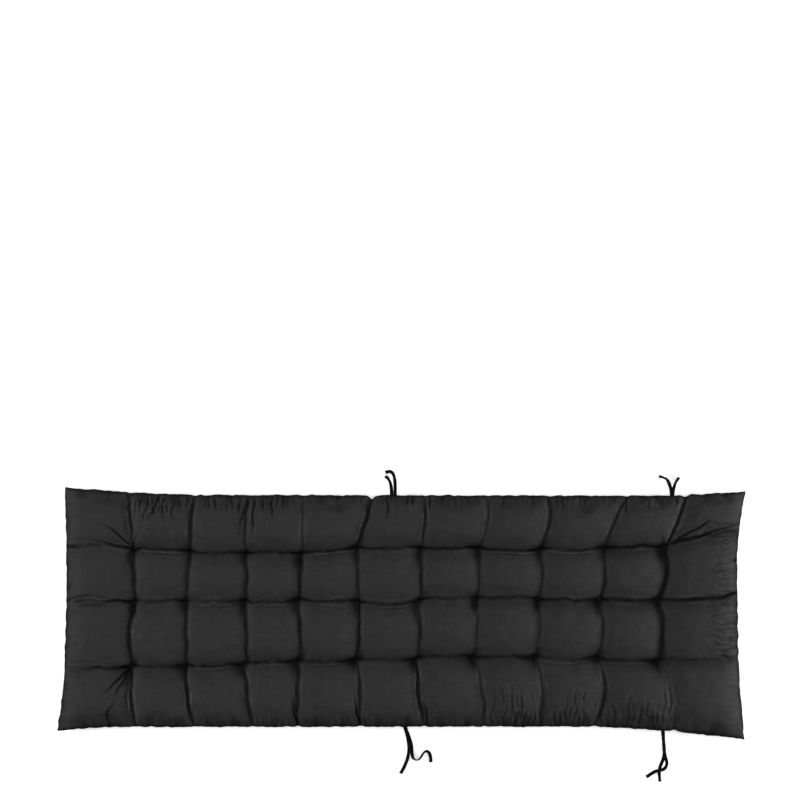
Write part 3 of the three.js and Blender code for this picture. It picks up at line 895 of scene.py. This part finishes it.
def lopsided(off, widths):
    """Distances in widths, which are other widths on the low side than on the high side."""
    return np.where(off < 0, off / widths[0], off / widths[1])


def press_tufts(points, pits, dimples):
    draw = np.random.default_rng(SEEDS["tufts"])
    for tufts in TOP["table"][1:-1, 1:-1]:
        for row, (x, y, _) in enumerate(tufts):
            near = np.flatnonzero((np.abs(points - (x, y)) < TUFT_REACH).all(axis=1))
            off = points[near] - (x, y)
            pit = np.hypot(lopsided(off[:, 0], PIT_WIDTHS[0]), lopsided(off[:, 1], PIT_WIDTHS[1]))
            pits[near] -= PIT_DEPTH * np.exp(-pit)
            for depth, offset, widths_x, widths_y, at_row in DIMPLES:
                aside = off - offset
                dimple = np.hypot(lopsided(aside[:, 0], widths_x), lopsided(aside[:, 1], widths_y))
                dimples[near] -= depth * at_row[row] * draw.uniform(*TUFT_UNEVEN) * bell(dimple, 1)


# %% [markdown]
# The smaller folds were read off the photograph one by one: puckers that run in from the seam where the
# flat panel has cloth to spare, creases that double beside the main ones, and the pulls that fan out from
# the tufts at both ends. Along the seam, fine gathers fill the rest.

# %% Puckers and pulls
# Depth, then points from the deep end to the shallow one, in millimetres.
PUCKERS = [
    (5, [(-533, 257), (-541, 234), (-556, 203)]), (4, [(-521, 256), (-524, 232), (-521, 208)]),
    (4, [(-609, 268), (-598, 250)]), (3, [(-409, 256), (-407, 228)]),
    (4.5, [(-339, 256), (-344, 225), (-356, 198), (-357, 165)]),
    (4, [(-322, 256), (-325, 225), (-327, 163)]), (3.5, [(-352, 256), (-362, 215)]),
    (3.5, [(-304, 256), (-299, 222)]), (5.5, [(-282, 257), (-284, 235), (-281, 210)]),
    (3.5, [(-31, 257), (-29, 232), (-32, 206)]), (3, [(-262, 256), (-259, 226)]),
    (3, [(23, 257), (24, 232)]), (3, [(64, 257), (66, 224)]), (3.5, [(322, 257), (320, 222)]),
    (3, [(343, 256), (345, 228)]), (3, [(353, 256), (354, 222)]), (4, [(492, 256), (494, 235), (495, 210)]),
    (5, [(607, 263), (602, 236)]), (3, [(-500, 256), (-504, 220), (-500, 196)]),
    (3, [(-572, 262), (-575, 222)]), (3, [(-486, 256), (-487, 230)]),
    (3, [(-552, 258), (-562, 224), (-568, 192)]), (3, [(-590, 140), (-575, 190)]),
    (4, [(-735, 145), (-716, 148), (-697, 145)]), (5.5, [(-592, 146), (-630, 151), (-668, 158), (-700, 165)]),
    (5, [(-594, 152), (-612, 166), (-640, 190), (-662, 208)]),
    (4, [(-735, 27), (-707, 37), (-672, 37), (-640, 33)]),
    (5.5, [(-592, 27), (-630, 27), (-680, 22), (-718, 14)]), (4, [(-735, 10), (-712, -2), (-700, -4)]),
    (4.5, [(-592, -116), (-660, -119), (-738, -126)]), (2.5, [(-742, -104), (-706, -108), (-671, -107)]),
    (5.5, [(-594, -122), (-612, -134), (-640, -158), (-662, -186)]),
    (4.5, [(-598, -128), (-618, -154), (-636, -186)]),
    (5, [(-641, -258), (-644, -234), (-642, -214), (-622, -184)]),
    (3, [(-600, -140), (-606, -180), (-602, -215)]), (7.5, [(-226, -251), (-234, -222), (-246, -178)]),
    (5.5, [(-229, -218), (-236, -200), (-238, -172)]), (7, [(-89, -251), (-96, -215), (-105, -178)]),
    (3.5, [(-76, -251), (-80, -224)]), (7, [(59, -251), (55, -216), (48, -178)]),
    (4, [(306, -250), (304, -219), (309, -170)]), (5, [(248, -253), (253, -228), (262, -196)]),
    (4, [(264, -252), (269, -218)]), (3.5, [(340, -252), (337, -214)]), (3, [(385, -250), (392, -205)]),
    (3, [(470, -250), (466, -195)]), (3, [(522, -252), (530, -190)]),
]
# Pulls that stay deep nearly to their shallow end.
LONG_PULLS = [
    (5.5, [(594, 156), (622, 172), (652, 188), (684, 208)]),
    (6, [(596, 153), (640, 166), (690, 184), (744, 197)]),
    (4.5, [(744, 167), (720, 167), (692, 161)]), (6, [(744, 52), (718, 41), (690, 34), (640, 32), (600, 31)]),
    (4.5, [(744, -44), (728, -52), (708, -58)]), (5, [(744, -70), (722, -74), (690, -84)]),
    (3.5, [(742, 120), (716, 116), (680, 114)]), (3.5, [(742, 86), (716, 87), (692, 82)]),
    (3.5, [(744, -14), (720, -16), (692, -15)]), (3, [(742, 100), (700, 96), (660, 98)]),
]
PUCKER_WIDTHS, PUCKER_GAIN, PUCKER_LIP, PUCKER_POINTS = (2.9, 2.0), 2.0, 0.6, 14
PUCKER_PROFILE, LONG_PULL_PROFILE = (((0, 0.03, full, 1), (0.4, 1, 0.9, 0)) for full in (0.5, 0.8))
# The stretches of long creases that are double, by line and cell. The second lies nearer the front.
DOUBLED = {3: (1, 4, 7, 8), 2: (0, 2, 3, 5), 1: (2, 3, 4, 8, 9)}
DOUBLE_GAP, DOUBLE_DEPTH, DOUBLE_WIDTHS, DOUBLE_LIP = 8.0, 7.0, (1.4, 1.8), 1.6
DOUBLE_PROFILE = ((0, 0.3, 0.7, 1), (0, 1, 1, 0))


def press_puckers(points, depth_map):
    for pulls, profile in ((PUCKERS, PUCKER_PROFILE), (LONG_PULLS, LONG_PULL_PROFILE)):
        for depth, path in pulls:
            path = wandering(path, PUCKER_POINTS)
            press_fold(
                points, depth_map, path, PUCKER_GAIN * depth, PUCKER_WIDTHS, profile, PUCKER_LIP * depth,
            )
    for line, cells in DOUBLED.items():
        for cell in cells:
            path = crease_path("long", line, cell)[2:-2] + (0, -DOUBLE_GAP)
            press_fold(points, depth_map, path, DOUBLE_DEPTH, DOUBLE_WIDTHS, DOUBLE_PROFILE, DOUBLE_LIP)


# %% Gathers along the seam
# Side, from, to, spacing, length and depth of the gathers on each stretch of a side.
GATHERS = [
    ("front", 190, 590, 9, 100, 1.7), ("front", 190, 590, 11, 45, 2.2), ("front", -570, 185, 8, 26, 1.3),
    ("front", 600, 730, 18, 25, 1.2), ("back", -590, -470, 11, 68, 2.4), ("back", -590, -250, 12, 42, 2.2),
    ("back", -240, 590, 14, 30, 1.9), ("right", -90, 200, 10, 72, 3.4), ("right", -90, 200, 13, 35, 3.4),
    ("right", -250, -90, 14, 45, 2.2), ("left", -230, 250, 15, 30, 1.8),
]
GATHER_WIDTHS, GATHER_LIP, GATHER_WANDER, GATHER_POINTS = (3.0, 2.2), 0.6, 1.6, 12
# How unlike they are: their lengths, strengths and spacings as shares of those in the table, and their lean.
GATHER_LENGTHS, GATHER_STRENGTHS, GATHER_SPACINGS, GATHER_LEAN = (0.45, 1.15), (0.6, 1.3), (0.6, 1.4), 0.16
GATHER_PROFILE = ((0, 0.25, 0.7, 1), (0.6, 1, 0.8, 0))
# A gather that would start this near to a crease is taken up by the crease.
GATHER_CLEAR = 11


def press_gathers(points, depth_map):
    draw = np.random.default_rng(SEEDS["gathers"])
    for side, start, end, spacing, length, depth in GATHERS:
        axis, across, inward = SIDES[side][2:5]
        at = start
        while at < end:
            reach = length * draw.uniform(*GATHER_LENGTHS)
            lean = draw.uniform(-GATHER_LEAN, GATHER_LEAN)
            root = seam_point(side, np.array([at]))[0, :2]
            tip = root.copy()
            tip[across] += inward * reach
            tip[axis] += lean * reach
            strength = depth * draw.uniform(*GATHER_STRENGTHS)
            strength *= np.abs(EDGE_STOPS[side][1:-1] - at).min() > GATHER_CLEAR
            path = wandering([root, tip], GATHER_POINTS, GATHER_WANDER)
            press_fold(
                points, depth_map, path, strength, GATHER_WIDTHS, GATHER_PROFILE, GATHER_LIP * strength,
                sharp=False,
            )
            at += spacing * draw.uniform(*GATHER_SPACINGS)


# %% Fine crinkles beside the seam
# Side, from, to, how far inward, and height. They are waves that are short along the seam and long across.
CRINKLES = [
    ("front", 200, 610, 105, 0.55), ("right", -115, 215, 78, 0.75), ("back", -600, -240, 60, 0.36),
    ("back", -50, 560, 50, 0.3), ("front", -560, 200, 45, 0.55),
]
CRINKLE_LENGTHS, CRINKLE_STRETCH, CRINKLE_FADE, CRINKLE_END = (7, 13), 0.28, 30, 1.6


def crinkle(points, side, start, end, reach, height):
    axis, across, inward = SIDES[side][2:5]
    along = points[:, axis]
    inside = inward * (points[:, across] - seam_point(side, along)[:, across])
    fade = smooth_step((along - start) / CRINKLE_FADE) * smooth_step((end - along) / CRINKLE_FADE)
    fade = fade * smooth_step(CRINKLE_END * (1 - inside / reach)) * (inside > 0)
    stretch = np.full(2, CRINKLE_STRETCH)
    stretch[axis] = 1
    return height * waves(points * stretch, SEEDS["crinkles"], *CRINKLE_LENGTHS) * fade


# %% The height of the seam beside each point
def nearest_seam_height(points):
    nearest = np.full(len(points), FAR_AWAY)
    height = np.zeros(len(points))
    for side, (_, _, axis, across, *_) in SIDES.items():
        seam = seam_point(side, np.clip(points[:, axis], EDGE_STOPS[side][0], EDGE_STOPS[side][-1]))
        distance = np.abs(points[:, across] - seam[:, across])
        height = np.where(distance < nearest, seam[:, 2], height)
        nearest = np.minimum(distance, nearest)
    return height


# %% Press the folds
# The seam's own stitches draw a fine groove beside the edge.
GROOVE_DEPTH, GROOVE_PLACE, GROOVE_WIDTH = 1.2, 3.5, 1.5
# The folds begin just inside the seam, within this distance.
RIM_START, RIM_WIDTH = 1, 4.0
# Along the back edge the filling is pushed further out, so the cloth rolls over more fully.
BACK_ROLL, BACK_ROLL_PLACE, BACK_ROLL_WIDTH, BACK_ROLL_START = 3.5, 12, 12, 6
# How high the cloth stands just inside the seam at the back and at the right end, how far in, and how wide.
BACK_RIDGE, RIGHT_RIDGE, SEAM_RIDGE_PLACE, SEAM_RIDGE_WIDTH = 0.8, 0.5, 8, 6.5
places = cover_places()
from_edge = crease_distances(places)[2] * 1000
top = np.flatnonzero(places[:, 2] > ON_TOP)
co = vertex_points(cushion) * 1000
points = co[top, :2].copy()
to_cross, to_long, to_seam = (distance[top] * 1000 for distance in crease_distances(places))
core, flanks, ridges, slack, hollows = (np.zeros(len(top)) for _ in range(5))
pits, dimples, folds, gathers = (np.zeros(len(top)) for _ in range(4))
press_creases(points, core, flanks, ridges, slack, hollows)
press_tufts(points, pits, dimples)
press_puckers(points, folds)
press_gathers(points, gathers)
for row in CRINKLES:
    gathers += crinkle(points, *row)
to_back = (ROWS - places[top, 1]) * PITCH_Y * 1000
to_right = (COLUMNS - places[top, 0]) * PITCH_X * 1000
for height, inward in ((BACK_RIDGE, to_back), (RIGHT_RIDGE, to_right)):
    ridges = np.maximum(ridges, height * bell(inward - SEAM_RIDGE_PLACE, SEAM_RIDGE_WIDTH))
depth_map = core + flanks + ridges + slack + hollows + pits + dimples + folds + gathers
depth_map = depth_map * smooth_step((to_seam + RIM_START) / RIM_WIDTH)
depth_map -= GROOVE_DEPTH * bell(to_seam - GROOVE_PLACE, GROOVE_WIDTH)
back_roll = bell(to_back - BACK_ROLL_PLACE, BACK_ROLL_WIDTH) * smooth_step(to_back / BACK_ROLL_START)
depth_map += BACK_ROLL * back_roll
lowest = mix(nearest_seam_height(points) + ABOVE_SEAM, LOWEST_TOP, smooth_step(to_seam / SEAM_HOLD))
co[top, 2] = np.maximum(co[top, 2] + depth_map, lowest)
print("deepest", depth_map.min().round(1), "highest", depth_map.max().round(1))

# %% [markdown]
# A slow drift moves the cloth sideways by about a millimetre, and a gentle rumple moves it up and down.
# It is finer beside the creases, where the thread and the filling pull at the cloth in turn. The edge
# itself waves a little, on both panels alike, because they are sewn together there.

# %% Drift and rumple
# How far, the shortest and the longest wave.
DRIFT = (0.9, 45, 120)
RUMPLE_SLOW, RUMPLE_FINE, RUMPLE_CREASE = (0.45, 28, 70), (0.14, 9, 20), (0.4, 8, 18)
CREASE_REACH, INSIDE_SEAM, CREASE_INSIDE_SEAM = 9, 25, 10
EDGE_WAVES, EDGE_REACH = (0.55, 14, 45), 9
inside = smooth_step(to_seam / INSIDE_SEAM)
beside_crease = np.exp(-np.minimum(to_cross, to_long) / CREASE_REACH)
beside_crease *= smooth_step(to_seam / CREASE_INSIDE_SEAM)


def field(flat, seed, size):
    return size[0] * waves(flat, seed, *size[1:])


for axis, seed in enumerate(SEEDS["drift"]):
    co[top, axis] += field(points, seed, DRIFT) * inside
slow, fine, crease = SEEDS["rumple"]
co[top, 2] += field(points, slow, RUMPLE_SLOW) * inside + field(points, fine, RUMPLE_FINE) * inside
co[top, 2] += field(points, crease, RUMPLE_CREASE) * beside_crease
at_edge = bell(from_edge, EDGE_REACH)
flat_places = co[:, :2].copy()
for axis, seed in enumerate(SEEDS["edge"]):
    co[:, axis] += field(flat_places, seed, EDGE_WAVES) * at_edge
set_points(cushion, co / 1000)
cushion.data.update()

# %% Painted shade in the folds and along the edge, painted highlight on the ridges
# How much each kind of depth counts for the painted shade, the depth painted fully dark, and where it begins.
CORE_SHADE, FLANK_SHADE, PUCKER_SHADE = 1.3, 0.6, 0.8
FOLD_FULL, SHADE_START = 9.0, 0.25
# Below 0 it is a painted highlight, on ridges and gather crests; gather troughs and hollows get painted
# shade.
RIDGE_HIGHLIGHT, GATHER_SHADE, HOLLOW_SHADE = 0.55, 0.06, 0.08
# The very edge, where the seam turns both panels under, gets painted shade for the shade it lies in.
EDGE_SHADE, EDGE_SHADE_WIDTH = 1.2, 5.0
# The cover's colour gets painted light and shade: 1 is full painted shade, below 0 a painted highlight.
painted_shading = np.zeros(len(co))
# Painted shade where the cores, flanks, pits, dimples, puckers and hollows lie deep.
hidden = CORE_SHADE * core + FLANK_SHADE * (flanks + pits + dimples) + PUCKER_SHADE * folds
hidden = np.clip(-hidden / FOLD_FULL - SHADE_START, 0, 1)
hidden += HOLLOW_SHADE * -hollows * (1 - hidden)
# Less painted shade, down to a painted highlight, on ridges and gather crests; more in gather troughs.
painted_shading[top] = hidden - (RIDGE_HIGHLIGHT * ridges + GATHER_SHADE * gathers) * (1 - hidden)
# Painted shade along the very edge.
painted_shading += EDGE_SHADE * bell(from_edge, EDGE_SHADE_WIDTH) * (1 - np.clip(painted_shading, 0, 1))
layer = cushion.data.attributes.new("painted_shading", "FLOAT", "POINT")
layer.data.foreach_set("value", painted_shading)
print("painted_shading", (painted_shading > 0.5).mean().round(3), "of the cover")

# %% [markdown]
# ## Tufting threads
#
# What holds each tuft is a bar tack: strong thread, sewn to and fro over a few millimetres, right through
# the pad. It lies at the bottom of the pit and again on the underside. One strand is a thin cylinder bent
# over its length, an Array lays seven side by side, and each tuft gets two copies of that bar.

# %% One bar tack
STRAND_RADIUS, STRAND_LENGTH, STRAND_SIDES, STRAND_CUTS = 0.00035, 0.003, 6, 3
STRAND_DROOP = 0.001
STRANDS, STRAND_PITCH = 7, 0.00075


def bar_tack():
    """A bar along X, centred on the origin, whose strands lie across it and bend down at both ends."""
    bpy.ops.object.select_all(action="DESELECT")
    bpy.ops.mesh.primitive_cylinder_add(
        vertices=STRAND_SIDES, radius=STRAND_RADIUS, depth=STRAND_LENGTH, rotation=(math.pi / 2, 0, 0),
    )
    bar = bpy.context.object
    bpy.ops.object.transform_apply(location=True, rotation=True, scale=True)
    bpy.ops.object.mode_set(mode="EDIT")
    bpy.ops.mesh.select_mode(type="EDGE")
    pick_long_edges(bar, STRAND_LENGTH / 2)
    bpy.ops.mesh.subdivide(number_cuts=STRAND_CUTS)
    bpy.ops.object.mode_set(mode="OBJECT")
    co = vertex_points(bar)
    co[:, 2] -= STRAND_DROOP * (2 * co[:, 1] / STRAND_LENGTH) ** 2
    co[:, 0] -= STRAND_PITCH * (STRANDS - 1) / 2
    set_points(bar, co)
    row = bar.modifiers.new("row", "ARRAY")
    row.count = STRANDS
    row.use_relative_offset = False
    row.use_constant_offset = True
    row.constant_offset_displace = (STRAND_PITCH, 0, 0)
    bpy.ops.object.modifier_apply(modifier="row")
    bpy.ops.object.shade_smooth_by_angle(angle=SMOOTH_BELOW)
    return bar


# %% Lay the bars in the tufts
# The bar tacks are real black thread; laid at the bottom of each pit, their near-black colour also serves as
# painted shade there.
TACK_LIFT, TUFT_BOTTOM = 0.0008, 0.01
MOST_TURN = math.radians(25)
pattern = bar_tack()
draw = np.random.default_rng(SEEDS["tacks"])
cover_now = vertex_points(cushion)
panel = places[:, 2]
tacks = []
for x, y, _ in TOP["table"][1:-1, 1:-1].reshape(-1, 3) / 1000:
    near = np.flatnonzero(np.hypot(cover_now[:, 0] - x, cover_now[:, 1] - y) < TUFT_BOTTOM)
    for on_top in (True, False):
        there = cover_now[near[(panel[near] > ON_TOP) == on_top]]
        bottom = there[np.argmin(there[:, 2] if on_top else -there[:, 2])]
        bar = pattern.copy()
        bar.data = pattern.data.copy()
        bpy.context.collection.objects.link(bar)
        co = vertex_points(bar)
        turn = draw.uniform(-MOST_TURN, MOST_TURN)
        cos, sin = math.cos(turn), math.sin(turn)
        flip = 1 if on_top else -1
        turned = (cos * co[:, 0] - sin * co[:, 1], flip * (sin * co[:, 0] + cos * co[:, 1]), flip * co[:, 2])
        placed = np.stack(turned, axis=1) + bottom + (0, 0, flip * TACK_LIFT)
        set_points(bar, placed)
        tacks.append(bar)
bpy.data.objects.remove(pattern)
select_only(*tacks)
bpy.ops.object.join()
threads = bpy.context.object
threads.name = "tufting_threads"
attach(threads, "root")
print("threads", len(threads.data.polygons), "faces")

# %% [markdown]
# The underside lies on the floor and has no fine folds, so it needs far fewer faces than the top. Decimate
# thins it out where the vertex group allows it, and leaves the top as it is.

# %% Thin out the underside
KEPT_SHARE = 0.58
thin = cushion.vertex_groups.new(name="underside")
thin.add([int(i) for i in np.flatnonzero(panel < ON_UNDERSIDE)], 1.0, "REPLACE")
select_only(cushion)
modifier = cushion.modifiers.new("thin_out", "DECIMATE")
modifier.ratio = KEPT_SHARE
modifier.vertex_group = "underside"
bpy.ops.object.modifier_apply(modifier="thin_out")
print("cover", sum(len(face.vertices) - 2 for face in cushion.data.polygons), "triangles")

# %% [markdown]
# ## Woven cloth
#
# The cover and the strips are cut from polyester cloth in plain weave, of spun yarn with thick and thin
# places. An image of cloth could be laid over them, but nodes stay sharp at any distance and need no file.
# The pattern follows the cloth, so the cover and the strips have UV maps in metres, of the flat panel or
# tape as it was cut. The materials share one node group, which gives the height of the threads and a tone
# that changes from thread to thread.

# %% A UV map of the flat panels, in metres
flat = cover_places()[:, :2] * (PITCH_X, PITCH_Y)
set_uv(cushion, flat)
print("panel", flat.max(axis=0).round(3), "m")

# %% The weave as a node group
# How much a thread humps over the next one, as a share of its height.
HUMP = 0.4
# The threads wander by a few of their widths, in waves of this many for each metre.
WANDER_THREADS, WANDER_SCALE = 3.0, 90
# Noise along single threads and along bands of them: its scale across them and along them, and its share.
SLUBS, BANDS = (0.5, 0.012, 0.3), (0.11, 0.004, 0.08)
MOTTLE_SCALE, MOTTLE_SHARE = 55, 0.24


def math_node(tree, operation, *inputs):
    """A Math node whose inputs are sockets or plain numbers. Returns its output."""
    node = tree.nodes.new("ShaderNodeMath")
    node.operation = operation
    for index, value in enumerate(inputs):
        if isinstance(value, (int, float)):
            node.inputs[index].default_value = value
        else:
            tree.links.new(value, node.inputs[index])
    return node.outputs[0]


def noise_node(tree, vector, scale, detail):
    node = tree.nodes.new("ShaderNodeTexNoise")
    node.noise_dimensions = "2D"
    node.inputs["Scale"].default_value = scale
    node.inputs["Detail"].default_value = detail
    tree.links.new(vector, node.inputs["Vector"])
    return node.outputs["Fac"]


def plain_weave_group():
    tree = bpy.data.node_groups.new("plain_weave", "ShaderNodeTree")
    for name, kind in (("Panel", "Vector"), ("Threads per Metre", "Float"), ("Slub", "Float")):
        tree.interface.new_socket(name=name, in_out="INPUT", socket_type="NodeSocket" + kind)
    for name in ("Height", "Tone"):
        tree.interface.new_socket(name=name, in_out="OUTPUT", socket_type="NodeSocketFloat")
    given = tree.nodes.new("NodeGroupInput").outputs
    result = tree.nodes.new("NodeGroupOutput").inputs
    split = tree.nodes.new("ShaderNodeSeparateXYZ")
    tree.links.new(given["Panel"], split.inputs["Vector"])

    def calc(operation, *inputs):
        return math_node(tree, operation, *inputs)

    def times(a, b):
        return calc("MULTIPLY", a, b)

    def plus(a, b):
        return calc("ADD", a, b)

    # Positions counted in threads. A slow noise makes the threads wander a little.
    wander = times(noise_node(tree, given["Panel"], WANDER_SCALE, 3.0), WANDER_THREADS)
    x = plus(times(split.outputs["X"], given["Threads per Metre"]), wander)
    y = calc("SUBTRACT", times(split.outputs["Y"], given["Threads per Metre"]), wander)
    wave_x, wave_y = (calc("SINE", times(count, math.pi)) for count in (x, y))
    warp_on_top = calc("GREATER_THAN", times(wave_x, wave_y), 0.0)
    round_x, round_y = (calc("SQRT", calc("ABSOLUTE", wave)) for wave in (wave_x, wave_y))
    # A thread on top is round across and humps along its way over the other one.
    over_x = times(round_x, calc("MULTIPLY_ADD", round_y, HUMP, 1 - HUMP))
    over_y = times(round_y, calc("MULTIPLY_ADD", round_x, HUMP, 1 - HUMP))
    threads = plus(times(over_x, warp_on_top), times(over_y, calc("SUBTRACT", 1.0, warp_on_top)))

    def along_threads(across, along, share):
        """Noise that is short across the threads and long along them, for warp and weft together."""
        noises = []
        for squeeze_x, squeeze_y in ((across, along), (along, across)):
            squeezed = tree.nodes.new("ShaderNodeCombineXYZ")
            tree.links.new(times(x, squeeze_x), squeezed.inputs["X"])
            tree.links.new(times(y, squeeze_y), squeezed.inputs["Y"])
            noises.append(noise_node(tree, squeezed.outputs["Vector"], 1.0, 2.0))
        return times(plus(*noises), share)

    # Thick and thin places run along single threads and along bands of them.
    slub, band = along_threads(*SLUBS), along_threads(*BANDS)
    mottle = noise_node(tree, given["Panel"], MOTTLE_SCALE, 5.0)
    tone = plus(slub, calc("MULTIPLY_ADD", mottle, MOTTLE_SHARE, band))
    lift = times(calc("SUBTRACT", tone, 0.5), given["Slub"])
    tree.links.new(plus(threads, lift), result["Height"])
    tree.links.new(tone, result["Tone"])
    return tree


plain_weave = plain_weave_group()
print("weave group with", len(plain_weave.nodes), "nodes")

# %% [markdown]
# All three materials use the group in the same way: the tone makes the colour lighter or darker, and the
# height of the threads goes through a Bump node. The cover has a second, darker colour, which paints shade
# into the creases, pits, hollows and along the edge; below 0 the same attribute paints a highlight instead.


# %% Cloth materials
# The own colour, the colour of painted shade, the tone's spread, threads per metre, roughness and specular
# level.
CLOTHS = {
    "charcoal_cover_cloth": ((0.0245, 0.0245, 0.025), (0.008, 0.008, 0.0082), 1.3, 1600, 0.75, 0.06),
    "black_thread": ((0.006, 0.006, 0.0065), (0.003, 0.003, 0.003), 0.6, 3200, 0.6, 0.15),
    "black_tape_cloth": ((0.0035, 0.0035, 0.0038), (0.002, 0.002, 0.002), 1.0, 1600, 0.9, 0.04),
}
SLUB_HEIGHT, BUMP_STRENGTH, BUMP_DISTANCE = 0.5, 0.6, 0.0003


def cloth_material(name, cloth_colour, shade_colour, spread, threads_per_metre, roughness, specular):
    material = bpy.data.materials.new(name)
    material.use_nodes = True
    tree = material.node_tree
    shader = tree.nodes["Principled BSDF"]
    shader.inputs["Roughness"].default_value = roughness
    shader.inputs["Specular IOR Level"].default_value = specular
    panel = tree.nodes.new("ShaderNodeUVMap")
    panel.uv_map = "UVMap"
    weave = tree.nodes.new("ShaderNodeGroup")
    weave.node_tree = plain_weave
    weave.inputs["Threads per Metre"].default_value = threads_per_metre
    weave.inputs["Slub"].default_value = SLUB_HEIGHT
    tree.links.new(panel.outputs["UV"], weave.inputs["Panel"])
    # This attribute paints shade into the colour, and a highlight where it is below 0.
    painted_shading = tree.nodes.new("ShaderNodeAttribute")
    painted_shading.attribute_name = "painted_shading"
    colour = tree.nodes.new("ShaderNodeMix")
    colour.data_type = "RGBA"
    colour.clamp_factor = False
    # A is the cloth's own colour, B the darker colour that paints shade, mixed in by the attribute.
    colour.inputs["A"].default_value = (*cloth_colour, 1)
    colour.inputs["B"].default_value = (*shade_colour, 1)
    tree.links.new(painted_shading.outputs["Fac"], colour.inputs["Factor"])
    gain = math_node(tree, "MULTIPLY_ADD", weave.outputs["Tone"], spread, 1 - spread / 2)
    toned = tree.nodes.new("ShaderNodeVectorMath")
    toned.operation = "SCALE"
    tree.links.new(colour.outputs["Result"], toned.inputs["Vector"])
    tree.links.new(gain, toned.inputs["Scale"])
    tree.links.new(toned.outputs["Vector"], shader.inputs["Base Color"])
    bump = tree.nodes.new("ShaderNodeBump")
    bump.inputs["Strength"].default_value = BUMP_STRENGTH
    bump.inputs["Distance"].default_value = BUMP_DISTANCE
    tree.links.new(weave.outputs["Height"], bump.inputs["Height"])
    tree.links.new(bump.outputs["Normal"], shader.inputs["Normal"])
    return material


cover_cloth, thread_cloth, tape_cloth = (cloth_material(name, *look) for name, look in CLOTHS.items())
dressed = [(cushion, cover_cloth), (threads, thread_cloth), *((strip, tape_cloth) for strip in tie_strips)]
for piece, material in dressed:
    piece.data.materials.clear()
    piece.data.materials.append(material)

# %% [markdown]
# ## Stage and light
#
# The floor looks white to the camera, as the background of the photograph is. Other rays meet a mid grey,
# so that it doesn't light the cloth from below. A broad light overhead and two low ones at the ends show
# the creases.

# %% Stage
FLOOR_SIZE, FLOOR_DROP = 60, 0.0002
FLOOR_SEEN, FLOOR_FELT, FLOOR_GLOW = 0.9, 0.18, 0.3
bpy.ops.object.select_all(action="DESELECT")
bpy.ops.mesh.primitive_plane_add(size=FLOOR_SIZE, location=(0, 0, -FLOOR_DROP))
floor = bpy.context.object
floor.name = "studio_floor"
floor_paint = bpy.data.materials.new("pale_floor")
floor_paint.use_nodes = True
tree = floor_paint.node_tree
shader = tree.nodes["Principled BSDF"]
shader.inputs["Roughness"].default_value = 1
shader.inputs["Specular IOR Level"].default_value = 0
rays = tree.nodes.new("ShaderNodeLightPath")
paint = tree.nodes.new("ShaderNodeMix")
paint.data_type = "RGBA"
for socket, grey in (("A", FLOOR_FELT), ("B", FLOOR_SEEN)):
    paint.inputs[socket].default_value = (grey, grey, grey, 1)
tree.links.new(rays.outputs["Is Camera Ray"], paint.inputs["Factor"])
tree.links.new(paint.outputs["Result"], shader.inputs["Base Color"])
shader.inputs["Emission Color"].default_value = (1, 1, 1, 1)
glow = math_node(tree, "MULTIPLY", rays.outputs["Is Camera Ray"], FLOOR_GLOW)
tree.links.new(glow, shader.inputs["Emission Strength"])
floor.data.materials.append(floor_paint)

# %% Light
SKY_STRENGTH, OVERHEAD_STRENGTH, OVERHEAD_ANGLE = 0.16, 1.35, math.radians(40)
SOFTBOX_SIZE, SOFTBOX_TARGET = (1.5, 1.0), (0, 0.3, 0)
# Place and power of the two low lights. Each is a broad area that faces the same point.
SOFTBOXES = {"right_light": ((4.0, 0.1, 1.1), 205), "left_light": ((-4.0, 0.3, 1.5), 145)}
scene = bpy.context.scene
world = bpy.data.worlds.new("studio")
scene.world = world
world.use_nodes = True
sky = world.node_tree.nodes["Background"]
sky.inputs["Color"].default_value = (1, 1, 1, 1)
sky.inputs["Strength"].default_value = SKY_STRENGTH
bpy.ops.object.light_add(type="SUN", rotation=(0, 0, 0))
overhead = bpy.context.object
overhead.name = "overhead_light"
overhead.data.energy = OVERHEAD_STRENGTH
overhead.data.angle = OVERHEAD_ANGLE
for name, (location, power) in SOFTBOXES.items():
    bpy.ops.object.light_add(type="AREA", location=location)
    lamp = bpy.context.object
    lamp.name = name
    lamp.data.shape = "RECTANGLE"
    lamp.data.size, lamp.data.size_y = SOFTBOX_SIZE
    lamp.data.energy = power
    way = np.subtract(SOFTBOX_TARGET, location)
    pitch = math.atan2(math.hypot(way[0], way[1]), -way[2])
    lamp.rotation_euler = (pitch, 0, math.atan2(way[1], way[0]) - math.pi / 2)
    lamp.visible_camera = False
scene.view_settings.view_transform = "Standard"
scene.view_settings.look = "None"
print("lights", 1 + len(SOFTBOXES))
